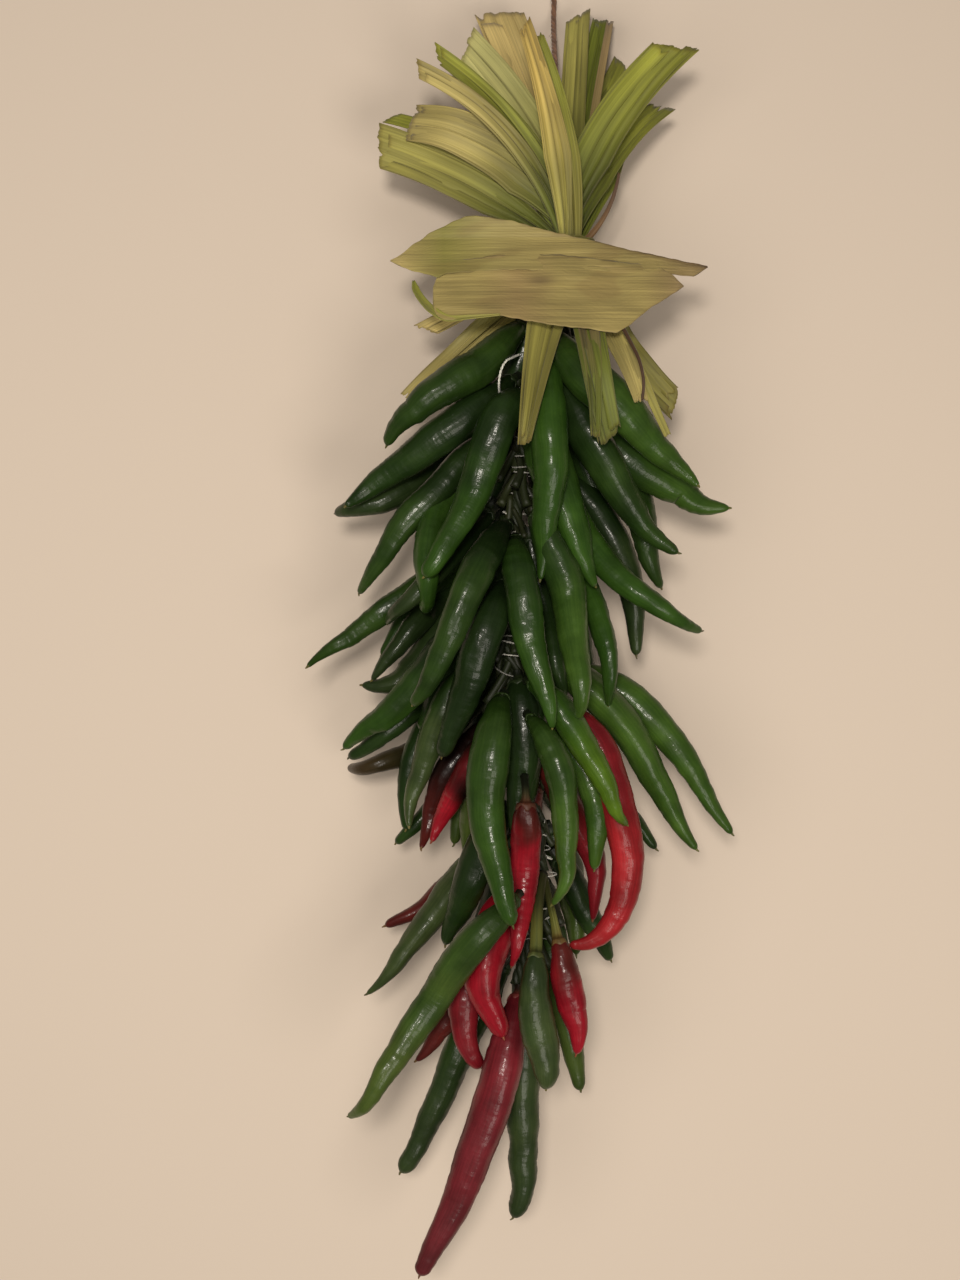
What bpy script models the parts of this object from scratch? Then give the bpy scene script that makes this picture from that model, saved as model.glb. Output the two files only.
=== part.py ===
"""A string of fresh chillies under a bow of corn husk, laid down on its back.

The chillies are knotted by their stems to one cotton string, each a little below
the last, so that the first ones hang over the later ones. Corn-husk strips are tied
round the top of the string: they fan out above the tie as a bow and hang down below
it as tails, with one broad husk across the front. A jute twine comes out of the
bundle, runs straight on and ends in a hanging loop.

Working frame in millimetres: x to the right, y towards the bow with 0 at the tie,
and z up from the string. Drops are measured from the tie down along the string. A
parent empty sets the finished string down with its lowest point at height 0.
"""

import math
from collections import namedtuple

import bmesh
import bpy
import numpy as np
from mathutils import Vector

MM = 0.001
CLEARANCE = 0.4  # kept between neighbouring pieces
CHILLI_GAP = 0.7  # kept between the round chillies, whose facets bend in fewer places

# Chillies
STEM_LENGTH = 16.0
STEM_RADIUS = 1.25
CALYX_SHARE = 0.93  # of the stem's length, where it starts to widen into the calyx
SHOULDER_SHARE = 0.16  # of the body's length, over which it swells from calyx to full girth
LAYER_DEPTH = 12.0  # one layer of chillies, about one chilli thick
BODY_STATIONS = (0, 0.13, 0.42, 0.72, 0.92, 1)
INNER_STATIONS = (0, 0.15, 0.55, 0.88, 1)
HOOKED_STATIONS = (0, 0.13, 0.3, 0.44, 0.56, 0.66, 0.76, 0.86, 0.95, 1)
ROUND_FROM = 12.4  # chillies thinner than this have six sides, the others eight
SAMPLES = 33  # places along a chilli where its clearance is worked out
KNOT_SHARE = 0.08  # of its length, by the knot, where it may be covered by another
LOWEST_LAYER = -2.5  # its tips bend down to the ground, and the string lies on them
GROUND = -43.9  # below the string's axis
TIP_SAG_FROM = 0.6  # of a chilli's length
SETTLE_STEPS = 1500

# String
THREAD_RADIUS = 1.1  # the string by itself, where it enters the husk bundle
STRING_RADIUS = 3.2  # the string with the stems' ends wound round it
KNOT_SWELL = 0.9  # how much thicker it is where a bunch begins
KNOT_LENGTH = 9.0  # half the length of that swelling
STRING_TOP = 2.0
STEMS_FROM = 30.0  # the drop from which stems are wound round it
STRING_END = 270.0

# Husk bundle and its tie
HUSK_THICK = 0.9
STRIP_ROWS = (0, 0.14, 0.32, 0.52, 0.7, 0.86, 1)  # shares of a strip's length that have points
WHOLE_ROWS = 2  # rows at the root where a leaf isn't torn yet
BOW_SAG = 1.4  # how late a free strip leaves its root's height
BUNDLE_WIDTH = 9.0
BELOW_ALL = -100.0
ROOT_GAP = 1.5  # from the tie's middle to where the leaves above and below it begin
TIE_RING = 9.2  # radius of the tie's middle across the string
TIE_THICK = 1.2
TIE_HEIGHT = 2.5  # the band is this many times as high as it is thick
TIE_SQUASH = 0.93  # its depth against its width

# Twine
TWINE_RADIUS = 1.1
TWINE_STEP = 6.4  # distance between the points of its tube

Chilli = namedtuple(
    "Chilli",
    "skin reach drop neck_lean tip_lean thick layer overrun inner",
    defaults=(0, False),
)

# The string's own slight wander: (drop, x)
STRING_WANDER = (
    (0, -1), (14, -4), (41, -13), (81, -18), (146, -23), (204, -15), (240, -10), (262, -17), (280, -22)
)

# Each bunch fills its stretch of the string evenly: (first knot's drop, last knot's drop, chillies).
# A chilli's tip hangs at x = reach, y = -drop. Its neck and its tip half bend to the side by
# neck_lean and tip_lean, to the right where it hangs straight down. thick is its greatest width.
# layer is its depth from the string, in layers, towards the front. An inner chilli is tied so
# close that it is one piece with the string.
BUNCHES = (
    (34, 72, (
        Chilli("green", -67, 74, -4, -6, 14.5, 1.3),
        Chilli("green", 45, 89, 1, 0, 16, 1.5),
        Chilli("green", -12, 123, 6, 3, 13.5, 2.4),
        Chilli("green", -53, 122, -6, 8, 14, 2.1),
        Chilli("green", -38, 118, 0, 0, 12, -2.5, inner=True),
        Chilli("dark", 38, 113, 6, -9, 12.5, 1.5),
        Chilli("green", -82, 96, -1, -2, 14, 1),
        Chilli("green", 8, 125, -4, -2, 12, 1.9),
        Chilli("dark", 5, 130, 0, 0, 12.5, -2.5, inner=True),
        Chilli("green", 47, 141, -17, -20, 12, 1.5),
        Chilli("dark", -78, 127, -5, -6, 11.5, 0.5),
        Chilli("dark", 58, 96, 12, -8, 13, 0.5),
        Chilli("green", -53, 134, -18, -16, 10.5, 0.5),
        Chilli("olive", -87, 97, -12, 10, 12, 0),
        Chilli("dark", 34, 125, 36, 9, 12, 0),
        Chilli("olive", 25, 150, 19, 16, 8.5, -0.5, inner=True),
    )),
    (80, 126, (
        Chilli("dark", -70, 150, -2, -4, 9, -0.5, inner=True),
        Chilli("olive", -67, 138, 2, 2, 8, 1, inner=True),
        Chilli("green", -28, 152, 0, 0, 11, -1.5, inner=True),
        Chilli("dark", -3, 166, 0, 0, 9, 0.5, inner=True),
        Chilli("green", 13, 168, 11, 14, 10, 1.5),
        Chilli("green", 1, 171, 16, 6, 14, 3),
        Chilli("dark", -55, 178, 1, 0, 12.5, 0.5, inner=True),
        Chilli("green", -57, 167, -9, 6, 15, 3),
        Chilli("dark", -48, 166, 0, 0, 12.5, -2.5, inner=True),
        Chilli("green", -8, 175, -4, -2, 12.5, 2.5),
        Chilli("green", -96, 154, -7, -1, 10.5, 0.5),
        Chilli("olive", -73, 159, -11, -3, 10.5, 0.3),
        Chilli("dark", -77, 161, -7, 20, 11, 0),
        Chilli("green", -4, 180, 0, 0, 13, -2.5, inner=True),
        Chilli("dark", -47, 186, -2, 0, 13.5, 1.5),
        Chilli("dark", -82, 188, 5, 9, 10.5, 0, inner=True),
        Chilli("green", -83, 184, 0, 5, 13, 1),
        Chilli("dark", -8, 204, 0, 0, 11.5, -1.5, inner=True),
    )),
    (134, 182, (
        Chilli("olive", -83, 193, 24, 20, 8.5, -1, inner=True),
        Chilli("dark", -61, 215, -9, -16, 9.5, -0.5, inner=True),
        Chilli("green", -59, 212, -9, -10, 11.5, 1),
        Chilli("dark", -21, 214, 6, 6, 12, 1.5, inner=True),
        Chilli("green", -65, 221, 8, 12, 8.5, -1, inner=True),
        Chilli("green", -44, 216, 0, 0, 12, -2.5, inner=True),
        Chilli("dark", 46, 221, 26, 5, 12.5, 0.5),
        Chilli("dark", -43, 221, -1, -2, 7.5, -1, inner=True),
        Chilli("green", -38, 225, -2, -3, 9.5, 0, inner=True),
        Chilli("green", 19, 210, 12, 2, 12.5, 2.5),
        Chilli("green", -22, 243, -14, -9, 13, 3),
        Chilli("dark", 60, 216, 39, 12, 12, 0),
        Chilli("red", -1, 254, 61, 29, 12, 1.5, overrun=40),
        Chilli("green", -8, 237, 16, 14, 11, 3),
        Chilli("maroon", -55, 221, -9, -9, 11, 0),
        Chilli("dark", 10, 226, 0, 0, 12.5, -2.5, inner=True),
        Chilli("maroon", -51, 218, -8, -3, 11, 0.5),
        Chilli("dark", 33, 223, 4, 6, 7.5, -1, inner=True),
        Chilli("green", 8, 227, 24, 14, 9.5, 1.5),
        Chilli("red", 8, 247, 6, 16, 11, 0.5),
        Chilli("red", -24, 252, 0, 0, 11.5, -1.5, inner=True),
    )),
    (186, 224, (
        Chilli("red", -22, 261, 4, 4, 10.5, 2),
        Chilli("green", -46, 256, -2, -2, 12.5, 0.5, inner=True),
        Chilli("maroon", -69, 252, 9, 13, 9, -1, inner=True),
        Chilli("dark", 3, 263, 6, 9, 10, -1, inner=True),
        Chilli("dark", -36, 272, 0, 0, 12, -2.5, inner=True),
        Chilli("green", 16, 265, 1, 2, 9, -1, inner=True),
        Chilli("olive", -75, 275, -15, 2, 14, 0.2),
        Chilli("green", -4, 284, 0, 0, 12, -2.5, inner=True),
        Chilli("red", -25, 286, -8, -22, 11, 1.5),
    )),
    (228, 264, (
        Chilli("green", -80, 314, -11, 2, 16, 2.5),
        Chilli("green", 4, 311, -2, 0, 9.5, 0, inner=True),
        Chilli("red", 1, 292, 1, 4, 9.5, 2),
        Chilli("dark", -10, 303, -9, -1, 11.5, 2.5),
        Chilli("red", -33, 300, -12, -28, 10, 1),
        Chilli("dark", -20, 312, 0, 0, 11, -1.5, inner=True),
        Chilli("maroon", -57, 300, -5, -4, 9.5, 0),
        Chilli("dark", -63, 343, -9, 2, 9.5, -0.5),
        Chilli("dark", -21, 358, -3, 6, 10, 0),
        Chilli("maroon", -55, 373, 6, 7, 16.5, 1.5),
    )),
)


def through(points, count):
    """count points on one smooth curve through the given ones (Catmull-Rom)."""
    points = np.asarray(points, float)
    ends = np.vstack([2 * points[0] - points[1], points, 2 * points[-1] - points[-2]])
    found = []
    for place in np.linspace(0, len(points) - 1, count):
        first = min(int(place), len(points) - 2)
        t = place - first
        a, b, c, d = ends[first : first + 4]
        found.append(
            0.5 * (2 * b + (c - a) * t + (2 * a - 5 * b + 4 * c - d) * t**2 + (3 * b - a - 3 * c + d) * t**3)
        )
    return np.array(found)


def evenly(points, count):
    """The same line with count points at even distances along it."""
    steps = np.linalg.norm(np.diff(points, axis=0), axis=1)
    run = np.concatenate([[0], np.cumsum(steps)])
    places = np.linspace(0, run[-1], count)
    return np.stack([np.interp(places, run, axis) for axis in points.T], axis=1)


STRING_LINE = through(STRING_WANDER, 60)


def string_point(drop):
    return np.array([np.interp(drop, STRING_LINE[:, 0], STRING_LINE[:, 1]), -drop])


def plan_line(chilli, knot_drop):
    """The chilli's centre line seen from above, from its knot to its tip."""
    knot = string_point(knot_drop)
    tip = np.array([chilli.reach, -chilli.drop])
    chord = tip - knot
    along = chord / np.linalg.norm(chord)
    side = np.array([-along[1], along[0]])
    neck = knot + chord / 3 + side * chilli.neck_lean
    far = knot + chord * 2 / 3 + side * chilli.tip_lean + along * chilli.overrun
    t = np.linspace(0, 1, 60)[:, None]
    line = (1 - t) ** 3 * knot + 3 * t * (1 - t) ** 2 * neck + 3 * t**2 * (1 - t) * far + t**3 * tip
    return evenly(line, SAMPLES)


def length_of(line):
    return np.linalg.norm(np.diff(line, axis=0), axis=1).sum()


def girth(shares, stem_share, thick):
    """Radii at shares of the length: a thin stem, the shoulder, the body and the tapering tip."""
    body = (np.asarray(shares, float) - stem_share) / (1 - stem_share)
    swell = 1 - 0.45 * (1 - np.clip(body / SHOULDER_SHARE, 0, 1)) ** 2
    taper = (1 - np.clip(body, 0, 1) ** 4) ** 0.6
    return np.where(body < 0, STEM_RADIUS, np.maximum(thick / 2 * swell * taper, 0.2))


def height_basis(shares):
    """Smooth height curves that leave the string's axis at height 0 (Bernstein, degree 4)."""
    return np.stack(
        [math.comb(4, m) * shares**m * (1 - shares) ** (4 - m) for m in range(1, 5)], axis=1
    )


def knotted():
    """(chilli, knot's drop) for every chilli, in the order that they are tied."""
    found = []
    for first, last, chillies in BUNCHES:
        for chilli, drop in zip(chillies, np.linspace(first, last, len(chillies))):
            found.append((chilli, drop))
    return found


def settle(tied):
    """Each chilli's height above the string at its samples, with no two pressed into each other.

    The plan stays as tied. Where two chillies cross in plan, the one in the nearer layer is
    raised and the other lowered until they clear, and each stays one smooth curve.
    """
    shares = np.linspace(0, 1, SAMPLES)
    basis = height_basis(shares)
    fit = np.linalg.pinv(basis)
    plans = np.array([plan_line(chilli, drop) for chilli, drop in tied])
    stems = [STEM_LENGTH / length_of(plan) for plan in plans]
    radii = np.array([girth(shares, stem, chilli.thick) for (chilli, _), stem in zip(tied, stems)])
    rank = np.array([chilli.layer * (1 - 0.004 * i) - 0.0001 * i for i, (chilli, _) in enumerate(tied)])
    wanted = np.array([chilli.layer * LAYER_DEPTH for chilli, _ in tied])
    rise = 1 - (1 - np.clip(shares / 0.3, 0, 1)) ** 2
    goal = (wanted[:, None] * rise) @ fit.T

    flat = plans.reshape(-1, 2)
    radius = radii.reshape(-1)
    owner = np.repeat(np.arange(len(tied)), SAMPLES)
    share = np.tile(shares, len(tied))
    apart = np.linalg.norm(flat[:, None] - flat[None], axis=2)
    reach = radius[:, None] + radius[None] + CHILLI_GAP
    first, second = np.nonzero((apart < reach) & (rank[owner][:, None] > rank[owner][None]))
    free = (share[first] > KNOT_SHARE) & (share[second] > KNOT_SHARE)
    first, second = first[free], second[free]
    need = np.sqrt(reach[first, second] ** 2 - apart[first, second] ** 2)

    heights = goal.copy()
    string_gap = np.abs(flat[:, 0] - np.interp(-flat[:, 1], STRING_LINE[:, 0], STRING_LINE[:, 1]))
    string_reach = radius + STRING_RADIUS + CLEARANCE
    over_string = (string_gap < string_reach) & (share > 0.14) & (-flat[:, 1] < STRING_END)
    string_need = np.sqrt(np.maximum(string_reach**2 - string_gap**2, 0))
    front = rank[owner] >= 0
    for step in range(SETTLE_STEPS):
        z = (heights @ basis.T).reshape(-1)
        lack = np.maximum(need - (z[first] - z[second]), 0)
        up = np.bincount(first, lack, len(z))
        down = np.bincount(second, lack, len(z))
        count = np.bincount(first, lack > 0, len(z)) + np.bincount(second, lack > 0, len(z))
        move = 0.5 * (up - down) / np.maximum(count, 1)
        clear = np.where(front, np.maximum(string_need - z, 0), -np.maximum(string_need + z, 0))
        move = move + np.where(over_string, clear, 0)
        heights = heights + 1.6 * (move.reshape(len(tied), SAMPLES) @ fit.T)
        heights = heights + 0.02 * (1 - step / SETTLE_STEPS) * (goal - heights)
    settled = heights @ basis.T
    sag = np.clip((shares - TIP_SAG_FROM) / (1 - TIP_SAG_FROM), 0, 1) ** 1.5
    for i, (chilli, _) in enumerate(tied):
        if chilli.layer == LOWEST_LAYER:
            bent = settled[i] + sag * (GROUND - settled[i, -1])
            settled[i] = np.where(sag > 0, np.maximum(bent, GROUND + radii[i]), settled[i])
    return plans, radii, settled


TIED = knotted()
PLANS, RADII, HEIGHTS = settle(TIED)


Strip = namedtuple(
    "Strip", "reach rise lean width end_width lift cut curl over", defaults=(0.0, 1.0, 0.0)
)

# The bundle's leaves from front to back: (name, height of its root, its strips from left to right).
# A strip's end lies at x = reach, y = rise, z = lift; lean bends its middle clockwise, cut slants
# its end, curl raises its edges and over, in husk thicknesses, lays it over its neighbours.
BOW_LEAVES = (
    ("husk_front", 4.9, (
        Strip(-17, 79, 3, 10, 3, 12, 2, 1.6),
        Strip(-12, 77, 4, 7, 5, 6, 4),
    )),
    ("husk_left_high", 3.7, (
        Strip(-56, 64, 10, 6, 8, 9, 2),
        Strip(-49, 71, 8, 6, 5, 4, 3),
    )),
    ("husk_left", 2.1, (
        Strip(-71, 40, 3, 15, 15, -6, 3, 1.5),
        Strip(-67, 53, 8, 6, 5, -14, -3),
        Strip(-60, 47, 8, 14, 9, 1, -1),
    )),
    ("husk_right", -2.2, (
        Strip(39, 76, -7, 14, 14, -2, 5, 1.5),
        Strip(37, 59, -3, 7, 5, -20, 2),
        Strip(18, 28, 3, 2.6, 1.6, 2, 0, 0.3),
    )),
    ("husk_back", -3.5, (
        Strip(-39, 79, 5, 14, 11, -14, 2, 1.5),
        Strip(-26, 98, 2, 16, 18, -30, -3, 2),
    )),
    ("husk_right_high", -4.8, (
        Strip(5, 98, 0, 9, 8, -32, 3),
        Strip(14, 98, -2, 7, 6, -38, 0),
        Strip(18, 96, -1, 4, 3, -24, 0),
    )),
    ("husk_right_back", -6.1, (
        Strip(24, 81, -1, 16, 10, -43.2, -4, 1.5),
    )),
)
TAIL_LEAVES = (
    ("husk_tail_middle", 3.8, (
        Strip(13, -73, 2, 11, 10, 34, 0, 1.2),
        Strip(6, -76, -2, 6, 2, 34, 0, 1, 3),
        Strip(-17, -76, 1, 11, 4, 34, 1, 1.4),
    )),
    ("husk_tail_right", 2.4, (
        Strip(36, -60, -6, 12, 11, 8, 3, 1.2),
        Strip(34, -71, -3, 6, 5, 12, 0),
        Strip(24, -60, -3, 8, 5, 24, 0),
    )),
    ("husk_tail_left", -2.4, (
        Strip(-57, -60, 4, 6, 4, 8, 0),
        Strip(-61, -54, 4, 5, 3, 8, 0, 1, 2),
        Strip(-53, -32, 0, 7, 6, 4, 0, 1, -2),
        Strip(-57, -12, -12, 5, 2, 6, 0, 0.4, 4),
    )),
)

# The broad husk across the front, from its left tip to its right: (x, top, bottom)
FRONT_HUSK = (
    (-65, -6, -9), (-57, 0, -15), (-49, 4, -24), (-37, 8, -28), (-15, 6, -31),
    (2, 3, -32), (17, -2, -34), (31, -6, -24), (37, -7, -14), (49, -9, -12),
)
FRONT_HUSK_LIFT = 11.9  # over the tie
FRONT_HUSK_SLOPE = 0.53  # how far it is pushed out, below the tie, by the tails behind it
FRONT_HUSK_MIDDLE = -8.0  # the x where it bulges most
FRONT_HUSK_BULGE = 900.0  # twice the radius of that bulge

# The twine's route from the tie: (x, y, z), then along the ground to its knot: (x, y)
TWINE_ROUTE = (
    (-1, -1, 0), (-1.2, 10, 0), (-1.8, 25, -0.6), (-2.7, 40, -3),
    (-3.7, 56, -9), (-4.4, 72, -19), (-4.6, 88, -32), (-4.4, 100, -41),
)
TWINE_GROUND_ROUTE = ((-4, 110), (-3.6, 121), (-3.4, 131))
LOOP_LENGTH = 26.0
LOOP_WIDTH = 13.0
LOOP_FOOT = 1.8  # half the distance between its ends, at the knot
TWINE_KNOT = 2.6  # radius


def material(name, color, roughness):
    made = bpy.data.materials.new(name)
    made.use_nodes = True
    shader = made.node_tree.nodes["Principled BSDF"]
    shader.inputs["Base Color"].default_value = (*color, 1)
    shader.inputs["Roughness"].default_value = roughness
    return made


def add(name, data, skin):
    made = bpy.data.objects.new(name, data)
    data.materials.append(skin)
    PARTS.objects.link(made)
    made.parent = FRAME
    return made


def adopt(made, name, skin):
    """Names a primitive that an operator made and moves it to the parts."""
    made.name = made.data.name = name
    made.data.materials.append(skin)
    made.data.shade_smooth()
    for collection in list(made.users_collection):
        collection.objects.unlink(made)
    PARTS.objects.link(made)
    made.parent = FRAME


def tube(name, points, radii, resolution):
    """A tube of changing girth: a poly curve with a bevel and closed ends."""
    curve = bpy.data.curves.new(name, "CURVE")
    curve.dimensions = "3D"
    curve.bevel_depth = MM
    curve.bevel_resolution = resolution
    curve.use_fill_caps = True
    spline = curve.splines.new("POLY")
    spline.points.add(len(points) - 1)
    for point, place, radius in zip(spline.points, points, radii):
        point.co = (*(Vector(place) * MM), 1)
        point.radius = radius
    return curve


def as_mesh(name, curve):
    """The tube as a closed mesh, which a Boolean needs."""
    guide = bpy.data.objects.new(name, curve)
    bpy.context.scene.collection.objects.link(guide)
    graph = bpy.context.evaluated_depsgraph_get()
    mesh = bpy.data.meshes.new_from_object(guide.evaluated_get(graph))
    bpy.data.objects.remove(guide)
    bm = bmesh.new()
    bm.from_mesh(mesh)
    bmesh.ops.remove_doubles(bm, verts=bm.verts, dist=0.002 * MM)
    bm.to_mesh(mesh)
    bm.free()
    mesh.shade_smooth()
    return mesh


def clear_share(number, line, stem_share):
    """Where a loose chilli's stem begins: just clear of the string and of any chilli over its knot."""
    shares = np.linspace(0, CALYX_SHARE * stem_share, 40)
    stem = np.stack([np.interp(shares, np.linspace(0, 1, SAMPLES), axis) for axis in line.T], axis=1)
    axis = np.array([[*string_point(-y), 0] for y in stem[:, 1]])
    off = np.linalg.norm(stem - axis, axis=1) - STRING_RADIUS - KNOT_SWELL
    off[-stem[:, 1] > STRING_END + 1] = STEM_LENGTH
    fine = np.linspace(0, SAMPLES - 1, 4 * SAMPLES)
    for other in range(len(TIED)):
        if other != number:
            body = np.column_stack([PLANS[other], HEIGHTS[other], RADII[other]])
            body = np.stack([np.interp(fine, range(SAMPLES), axis) for axis in body.T], axis=1)
            away = np.linalg.norm(stem[:, None] - body[None, :, :3], axis=2) - body[:, 3]
            off = np.minimum(off, away.min(axis=1))
    covered = np.nonzero(off < STEM_RADIUS + CLEARANCE)[0]
    return shares[min(covered[-1] + 1, len(shares) - 2)] if len(covered) else 0.0


def chilli_tube(name, number):
    """One chilli with its stem. A loose one begins just clear of the string."""
    chilli = TIED[number][0]
    line = np.column_stack([PLANS[number], HEIGHTS[number]])
    stem_share = STEM_LENGTH / length_of(PLANS[number])
    begin = 0.0 if chilli.inner else clear_share(number, line, stem_share)
    stations = HOOKED_STATIONS if chilli.overrun else BODY_STATIONS
    body = np.array(INNER_STATIONS if chilli.inner else stations)
    shares = np.concatenate([[begin, CALYX_SHARE * stem_share], stem_share + (1 - stem_share) * body])
    points = np.stack([np.interp(shares, np.linspace(0, 1, SAMPLES), axis) for axis in line.T], axis=1)
    radii = girth(shares, stem_share, chilli.thick)
    radii[-1] = 0
    return tube(name, points, radii, 1 if chilli.thick < ROUND_FROM or chilli.inner else 2)


def add_chillies():
    """The loose chillies as objects of their own, and the inner ones as one piece with the string."""
    inner = bpy.data.collections.new("inner chillies")
    bpy.context.scene.collection.children.link(inner)
    for number, (chilli, _) in enumerate(TIED):
        name = f"chilli_{number + 1:02d}_{chilli.skin}"
        data = chilli_tube(name, number)
        if not chilli.inner:
            add(name, data, SKINS[chilli.skin])
            continue
        guide = bpy.data.objects.new(name, as_mesh(name, data))
        guide.parent = FRAME
        guide.display_type = "WIRE"
        guide.hide_render = True
        inner.objects.link(guide)
    thread = np.linspace(STRING_TOP, STEMS_FROM - 4, 3)
    drops = np.concatenate([thread, np.linspace(STEMS_FROM + 2, STRING_END, 17)])
    knots = np.array([first + KNOT_LENGTH / 2 for first, _, _ in BUNCHES])
    swell = np.exp(-(((drops[:, None] - knots) / KNOT_LENGTH) ** 2)).sum(axis=1)
    radii = np.where(drops < STEMS_FROM, THREAD_RADIUS, STRING_RADIUS + KNOT_SWELL * swell)
    points = [(*string_point(drop), 0) for drop in drops]
    mesh = as_mesh("string", tube("string", points, radii, 1))
    string = add("string_and_inner_chillies", mesh, SKINS["string"])
    join = string.modifiers.new("join inner chillies", "BOOLEAN")
    join.operation = "UNION"
    join.operand_type = "COLLECTION"
    join.collection = inner


def strip_rows(strip, root, root_width, shares):
    """(share, middle, half width to the right, slant) at shares of a strip, from root to end."""
    end = np.array([strip.reach, strip.rise], float)
    chord = end - root
    along = chord / np.linalg.norm(chord)
    clockwise = np.array([along[1], -along[0]])
    bend = (root + end) / 2 + clockwise * strip.lean * 2
    rows = []
    for share in shares:
        middle = (1 - share) ** 2 * root + 2 * share * (1 - share) * bend + share**2 * end
        ahead = 2 * (1 - share) * (bend - root) + 2 * share * (end - bend)
        ahead = ahead / np.linalg.norm(ahead)
        right = np.array([ahead[1], -ahead[0]])
        width = np.interp(share, (0, 0.5, 1), (root_width, strip.width, strip.end_width))
        slant = ahead * strip.cut * share**4
        rows.append((share, middle, right * width / 2, slant))
    return rows


def hung(strip, height):
    """Heights of a free strip's rows: it leaves the tie level and bends towards its end."""
    return height + (strip.lift - height) * np.array(STRIP_ROWS) ** BOW_SAG


def draped(strip, height, root, root_width):
    """Heights of a front tail strip's rows: drawn straight over the chillies under it."""
    places = np.column_stack([PLANS.reshape(-1, 2), HEIGHTS.reshape(-1)])
    reach = RADII.reshape(-1) + CLEARANCE
    shares = np.linspace(0, 1, 25)
    need = []
    for _, middle, half, _ in strip_rows(strip, root, root_width, shares):
        off = np.linalg.norm(places[:, :2] - middle, axis=1) - np.linalg.norm(half)
        near = off < reach
        tops = places[near, 2] + np.sqrt(reach[near] ** 2 - np.maximum(off[near], 0) ** 2)
        need.append(np.append(tops, BELOW_ALL).max() + HUSK_THICK + CLEARANCE)
    need = np.array(need)
    need[shares < STRIP_ROWS[1]] = BELOW_ALL
    need[0] = height
    need[-1] = max(need[-1], strip.lift)
    taut = []
    for j, place in enumerate(shares):
        spans = [(i, k) for i in range(j + 1) for k in range(j, len(shares))]
        taut.append(max(np.interp(place, (shares[i], shares[k]), (need[i], need[k])) for i, k in spans))
    return np.interp(STRIP_ROWS, shares, taut)


def leaf_mesh(name, height, strips, upward):
    """A husk leaf torn into strips: one sheet at its root, from which the strips part."""
    bm = bmesh.new()
    leaf_width = BUNDLE_WIDTH * math.sqrt(1 - (height / TIE_RING) ** 2)
    width = leaf_width / len(strips)
    shared = {}
    for number, strip in enumerate(strips):
        centre = (number + 0.5) * width - leaf_width / 2
        root = np.array([centre, ROOT_GAP]) if upward else np.array([-centre, -ROOT_GAP])
        rows = strip_rows(strip, root, width, STRIP_ROWS)
        front_tail = height > 0 and not upward
        heights = draped(strip, height, root, width) if front_tail else hung(strip, height)
        heights[WHOLE_ROWS:] += strip.over * HUSK_THICK
        grid = []
        for row, (share, middle, half, slant) in enumerate(rows):
            line = []
            for across in (-1, 0, 1):
                x, y = middle + half * across + slant * across
                place = Vector((x, y, heights[row] + strip.curl * across**2 * share)) * MM
                edge = (number + (across > 0), row)
                if row < WHOLE_ROWS and across and edge in shared:
                    vertex = shared[edge]
                    vertex.co = (vertex.co + place) / 2
                else:
                    vertex = bm.verts.new(place)
                    if row < WHOLE_ROWS and across:
                        shared[edge] = vertex
                line.append(vertex)
            grid.append(line)
        for lower, upper in zip(grid, grid[1:]):
            for i in range(2):
                bm.faces.new((lower[i], lower[i + 1], upper[i + 1], upper[i]))
    mesh = bpy.data.meshes.new(name)
    bm.to_mesh(mesh)
    bm.free()
    return mesh


def thicken(obj, thickness):
    shell = obj.modifiers.new("thickness", "SOLIDIFY")
    shell.thickness = thickness * MM
    shell.offset = 0


def add_leaves():
    for name, height, strips in BOW_LEAVES:
        thicken(add(name, leaf_mesh(name, height, strips, True), SKINS["husk"]), HUSK_THICK)
    for name, height, strips in TAIL_LEAVES:
        thicken(add(name, leaf_mesh(name, height, strips, False), SKINS["husk"]), HUSK_THICK)


def add_front_husk():
    """The broad husk across the front of the tie."""
    bm = bmesh.new()
    rows = []
    for x, top, bottom in FRONT_HUSK:
        row = []
        bulge = FRONT_HUSK_LIFT - (x - FRONT_HUSK_MIDDLE) ** 2 / FRONT_HUSK_BULGE
        for share in (0, 1 / 3, 2 / 3, 1):
            y = bottom + (top - bottom) * share
            z = bulge + FRONT_HUSK_SLOPE * max(0, 2 - y)
            row.append(bm.verts.new(Vector((x, y, z)) * MM))
        rows.append(row)
    for left, right in zip(rows, rows[1:]):
        for i in range(3):
            bm.faces.new((left[i], right[i], right[i + 1], left[i + 1]))
    mesh = bpy.data.meshes.new("husk_front_band")
    bm.to_mesh(mesh)
    bm.free()
    thicken(add("husk_front_band", mesh, SKINS["husk"]), HUSK_THICK)


def add_tie():
    """The band that binds the bundle: a torus about the string, drawn out along it and flattened."""
    bpy.ops.mesh.primitive_torus_add(
        major_segments=16, minor_segments=6, major_radius=TIE_RING * MM, minor_radius=TIE_THICK * MM
    )
    tie = bpy.context.object
    tie.scale = (1, TIE_SQUASH, TIE_HEIGHT)
    tie.rotation_euler = (math.pi / 2, 0, 0)
    bpy.ops.object.transform_apply(rotation=True, scale=True)
    adopt(tie, "tie", SKINS["tie"])


def bounds():
    """Lowest and highest corner of all that is made so far, in the working frame's metres."""
    graph = bpy.context.evaluated_depsgraph_get()
    places = []
    for obj in PARTS.objects:
        if obj != FRAME:
            shape = obj.evaluated_get(graph)
            places += [vertex.co.copy() for vertex in shape.to_mesh().vertices]
            shape.to_mesh_clear()
    places = np.array(places)
    return places.min(axis=0), places.max(axis=0)


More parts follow.
